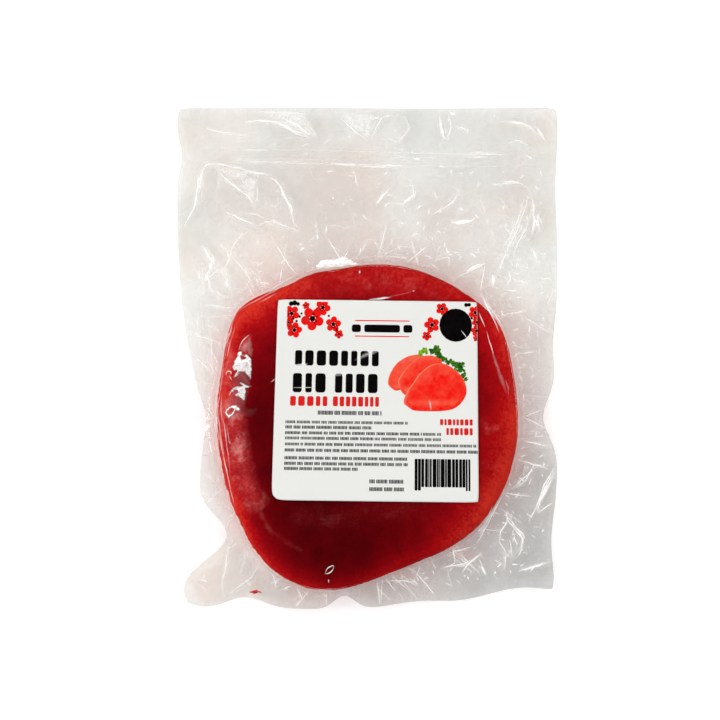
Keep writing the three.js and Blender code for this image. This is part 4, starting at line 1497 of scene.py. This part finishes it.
def print_slice(number, pale, middle, points):
    """One slice of the picture: pale at its upper rim, with a pale band across its lower part."""
    directions, distances = slice_outline(middle, points)

    def drawn(u, v):
        share, way = rounded_off(u, v)
        out = share * np.interp(way % 360, directions, distances, period=360)
        return middle[0] + out * np.cos(np.radians(way)), middle[1] + out * np.sin(np.radians(way))

    def paleness(x, y, z):
        a, b = x - LABEL_X - middle[0], y - LABEL_Y - middle[1]
        way = np.degrees(np.arctan2(b, a)) % 360
        share = np.hypot(a, b) / np.interp(way, directions, distances, period=360)
        upper = np.clip(0.4 + b / 14 - a / 40, 0, 1)
        rim = np.clip((share - 0.93) / 0.06, 0, 1) * np.clip(upper * 2, 0, 1)
        band = bump(b + 5.8, 0.25, 1.1) * (share < 0.9)
        mottled = 0.07 * patchy(x, y, 3, 72) + 0.05 * patchy(x, y, 1.2, 73)
        return np.clip(pale + 0.75 * rim + band + 0.3 * share**2 * upper + mottled, 0, 1)

    bm = bmesh.new()
    bmesh.ops.create_grid(bm, x_segments=SLICE_CELLS, y_segments=SLICE_CELLS, size=1)
    printed(f"printed_slice_{number}", bm, slice_ink, number, paleness, drawn)


slice_ink = ink("slice_ink", (0.985, 0.003, 0.002, 1), (0.985, 0.29, 0.16, 1))
for number, tuna_slice in enumerate(SLICES, 1):
    print_slice(number, *tuna_slice)

bm = bmesh.new()
for a, b, radius in LEAVES:
    add_disc(bm, a, b, 0.62 * radius)
    for _ in range(LEAFLETS):
        way, out = rng.uniform(0, 2 * math.pi), rng.uniform(0.5, 0.95) * radius
        add_disc(bm, a, b, rng.uniform(0.2, 0.34) * radius, way, out)


def leaf_light(x, y, z):
    """The tuft at the left is a young, yellow one, and the others are uneven."""
    return np.where(x < LABEL_X + 20.4, 0.85, np.clip(0.04 + 0.35 * patchy(x, y, 0.9, 74), 0, 1))


printed("green_print", bm, ink("green_ink", (0.002, 0.12, 0.012, 1), (0.30, 0.62, 0.02, 1)), 1, leaf_light)


# Painted highlights on the label: pale slivers where the paper is creased and its coating
# shines. They lie over the print.

GLARE_LIFT = 5 * PRINT_LIFT
LABEL_GLARES = [  # strength, width and the points along each, on the label
    (0.8, 1.3, [(-33.3, 13.6), (-30, 13.9), (-27, 14.2)]),
    (0.35, 2.6, [(-9, 15.6), (-4, 18.3), (1, 19.6)]),
    (0.9, 0.6, [(-33.3, 4.9), (-28, 4.9), (-23.7, 5.0)]),
    (0.3, 1.7, [(-20.6, 9.4), (-16, 10), (-11.3, 10.3)]),
    (0.5, 1.3, [(20.8, 1.0), (21.2, -1.4), (21.6, -3.6)]),
    (0.9, 0.6, [(33.4, 28.4), (34.8, 26.6), (36.0, 24.8)]),
]

bm = bmesh.new()
bm.verts.layers.float.new("haze")
for strength, width, points in LABEL_GLARES:
    add_crest(bm, rng, strength, width, points)
label_glare = made("label_glare_slivers", bm, lambda a, b, _: on_label(a, b, GLARE_LIFT), highlight_finish)
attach(label_glare, "root")
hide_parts("label")


# The floor, the lights and the camera are not part of the pack. The floor is plain white, and
# softboxes and a pale sky light the film from all round.

FLOOR_HALF = 4000
FLOOR_DROP = 0.1
FLOOR_GLOW = 0.24
SKY_AT_HORIZON = 0.74
SKY_OVERHEAD = 0.01
BACKDROP = 0.95  # what the camera sees of the sky


def white_floor():
    material, at = new_finish("white_floor")
    colour = noise(at, 3, 2, 0.5).colour((0.96, 0.96, 0.96, 1), (0.98, 0.98, 0.98, 1))
    matt = {"Specular IOR Level": 0.0, "Emission Color": (1, 1, 1, 1), "Emission Strength": FLOOR_GLOW}
    return shown_by(material, principled(at, colour, 1.0, matt))


def floor_place(x, y, z):
    return x * FLOOR_HALF, y * FLOOR_HALF, z - FLOOR_DROP


bm = bmesh.new()
bmesh.ops.create_grid(bm, x_segments=1, y_segments=1, size=1)
floor = made("floor", bm, floor_place, white_floor())

world = bpy.data.worlds.new("studio")
bpy.context.scene.world = world
world.use_nodes = True
sky = world.node_tree.nodes["Background"]
start = Wire(world.node_tree, None)
way = start.node("ShaderNodeTexCoord", {}, {}, "Generated")
upwards = start.node("ShaderNodeSeparateXYZ", {}, {0: way}, "Z")
glow = SKY_AT_HORIZON - upwards.ramp(0.3, 0.85) * (SKY_AT_HORIZON - SKY_OVERHEAD)
camera_ray = start.node("ShaderNodeLightPath", {}, {}, "Is Camera Ray")
strength = glow + camera_ray * (BACKDROP - glow)
world.node_tree.links.new(strength.socket, sky.inputs["Strength"])

SOFTBOX_SIZE = 0.42
SOFTBOX_DISTANCE = 1.2
MIRRORED_BELOW = 45  # the higher ones would show as blobs in the film
SOFTBOXES = [  # azimuth, elevation and watts
    (-85, 42, 3.4),
    (-40, 52, 2.6),
    (5, 38, 2.5),
    (45, 50, 2.2),
    (85, 38, 2.3),
    (135, 52, 2.1),
    (185, 38, 2.1),
    (230, 50, 2.4),
]


def softbox(name, azimuth, elevation, watts):
    """A square softbox that faces the pack. Azimuth 0 is towards +Y, and 90 towards +X."""
    data = bpy.data.lights.new(name, "AREA")
    data.shape = "SQUARE"
    data.size = SOFTBOX_SIZE
    data.energy = watts
    light = bpy.data.objects.new(name, data)
    bpy.context.scene.collection.objects.link(light)
    a, e = math.radians(azimuth), math.radians(elevation)
    way = Vector((math.sin(a) * math.cos(e), math.cos(a) * math.cos(e), math.sin(e)))
    light.location = way * SOFTBOX_DISTANCE
    light.rotation_euler = way.to_track_quat("Z", "Y").to_euler()
    light.visible_glossy = elevation < MIRRORED_BELOW


for number, (azimuth, elevation, watts) in enumerate(SOFTBOXES, 1):
    softbox(f"softbox_{number}", azimuth, elevation, watts)

camera_data = bpy.data.cameras.new("camera")
camera_data.lens = 100.7
camera_data.sensor_width = 36
camera = bpy.data.objects.new("camera", camera_data)
bpy.context.scene.collection.objects.link(camera)
camera.location = (-0.0029, -0.0007, 0.808)
bpy.context.scene.camera = camera
bpy.context.scene.view_settings.view_transform = "Standard"
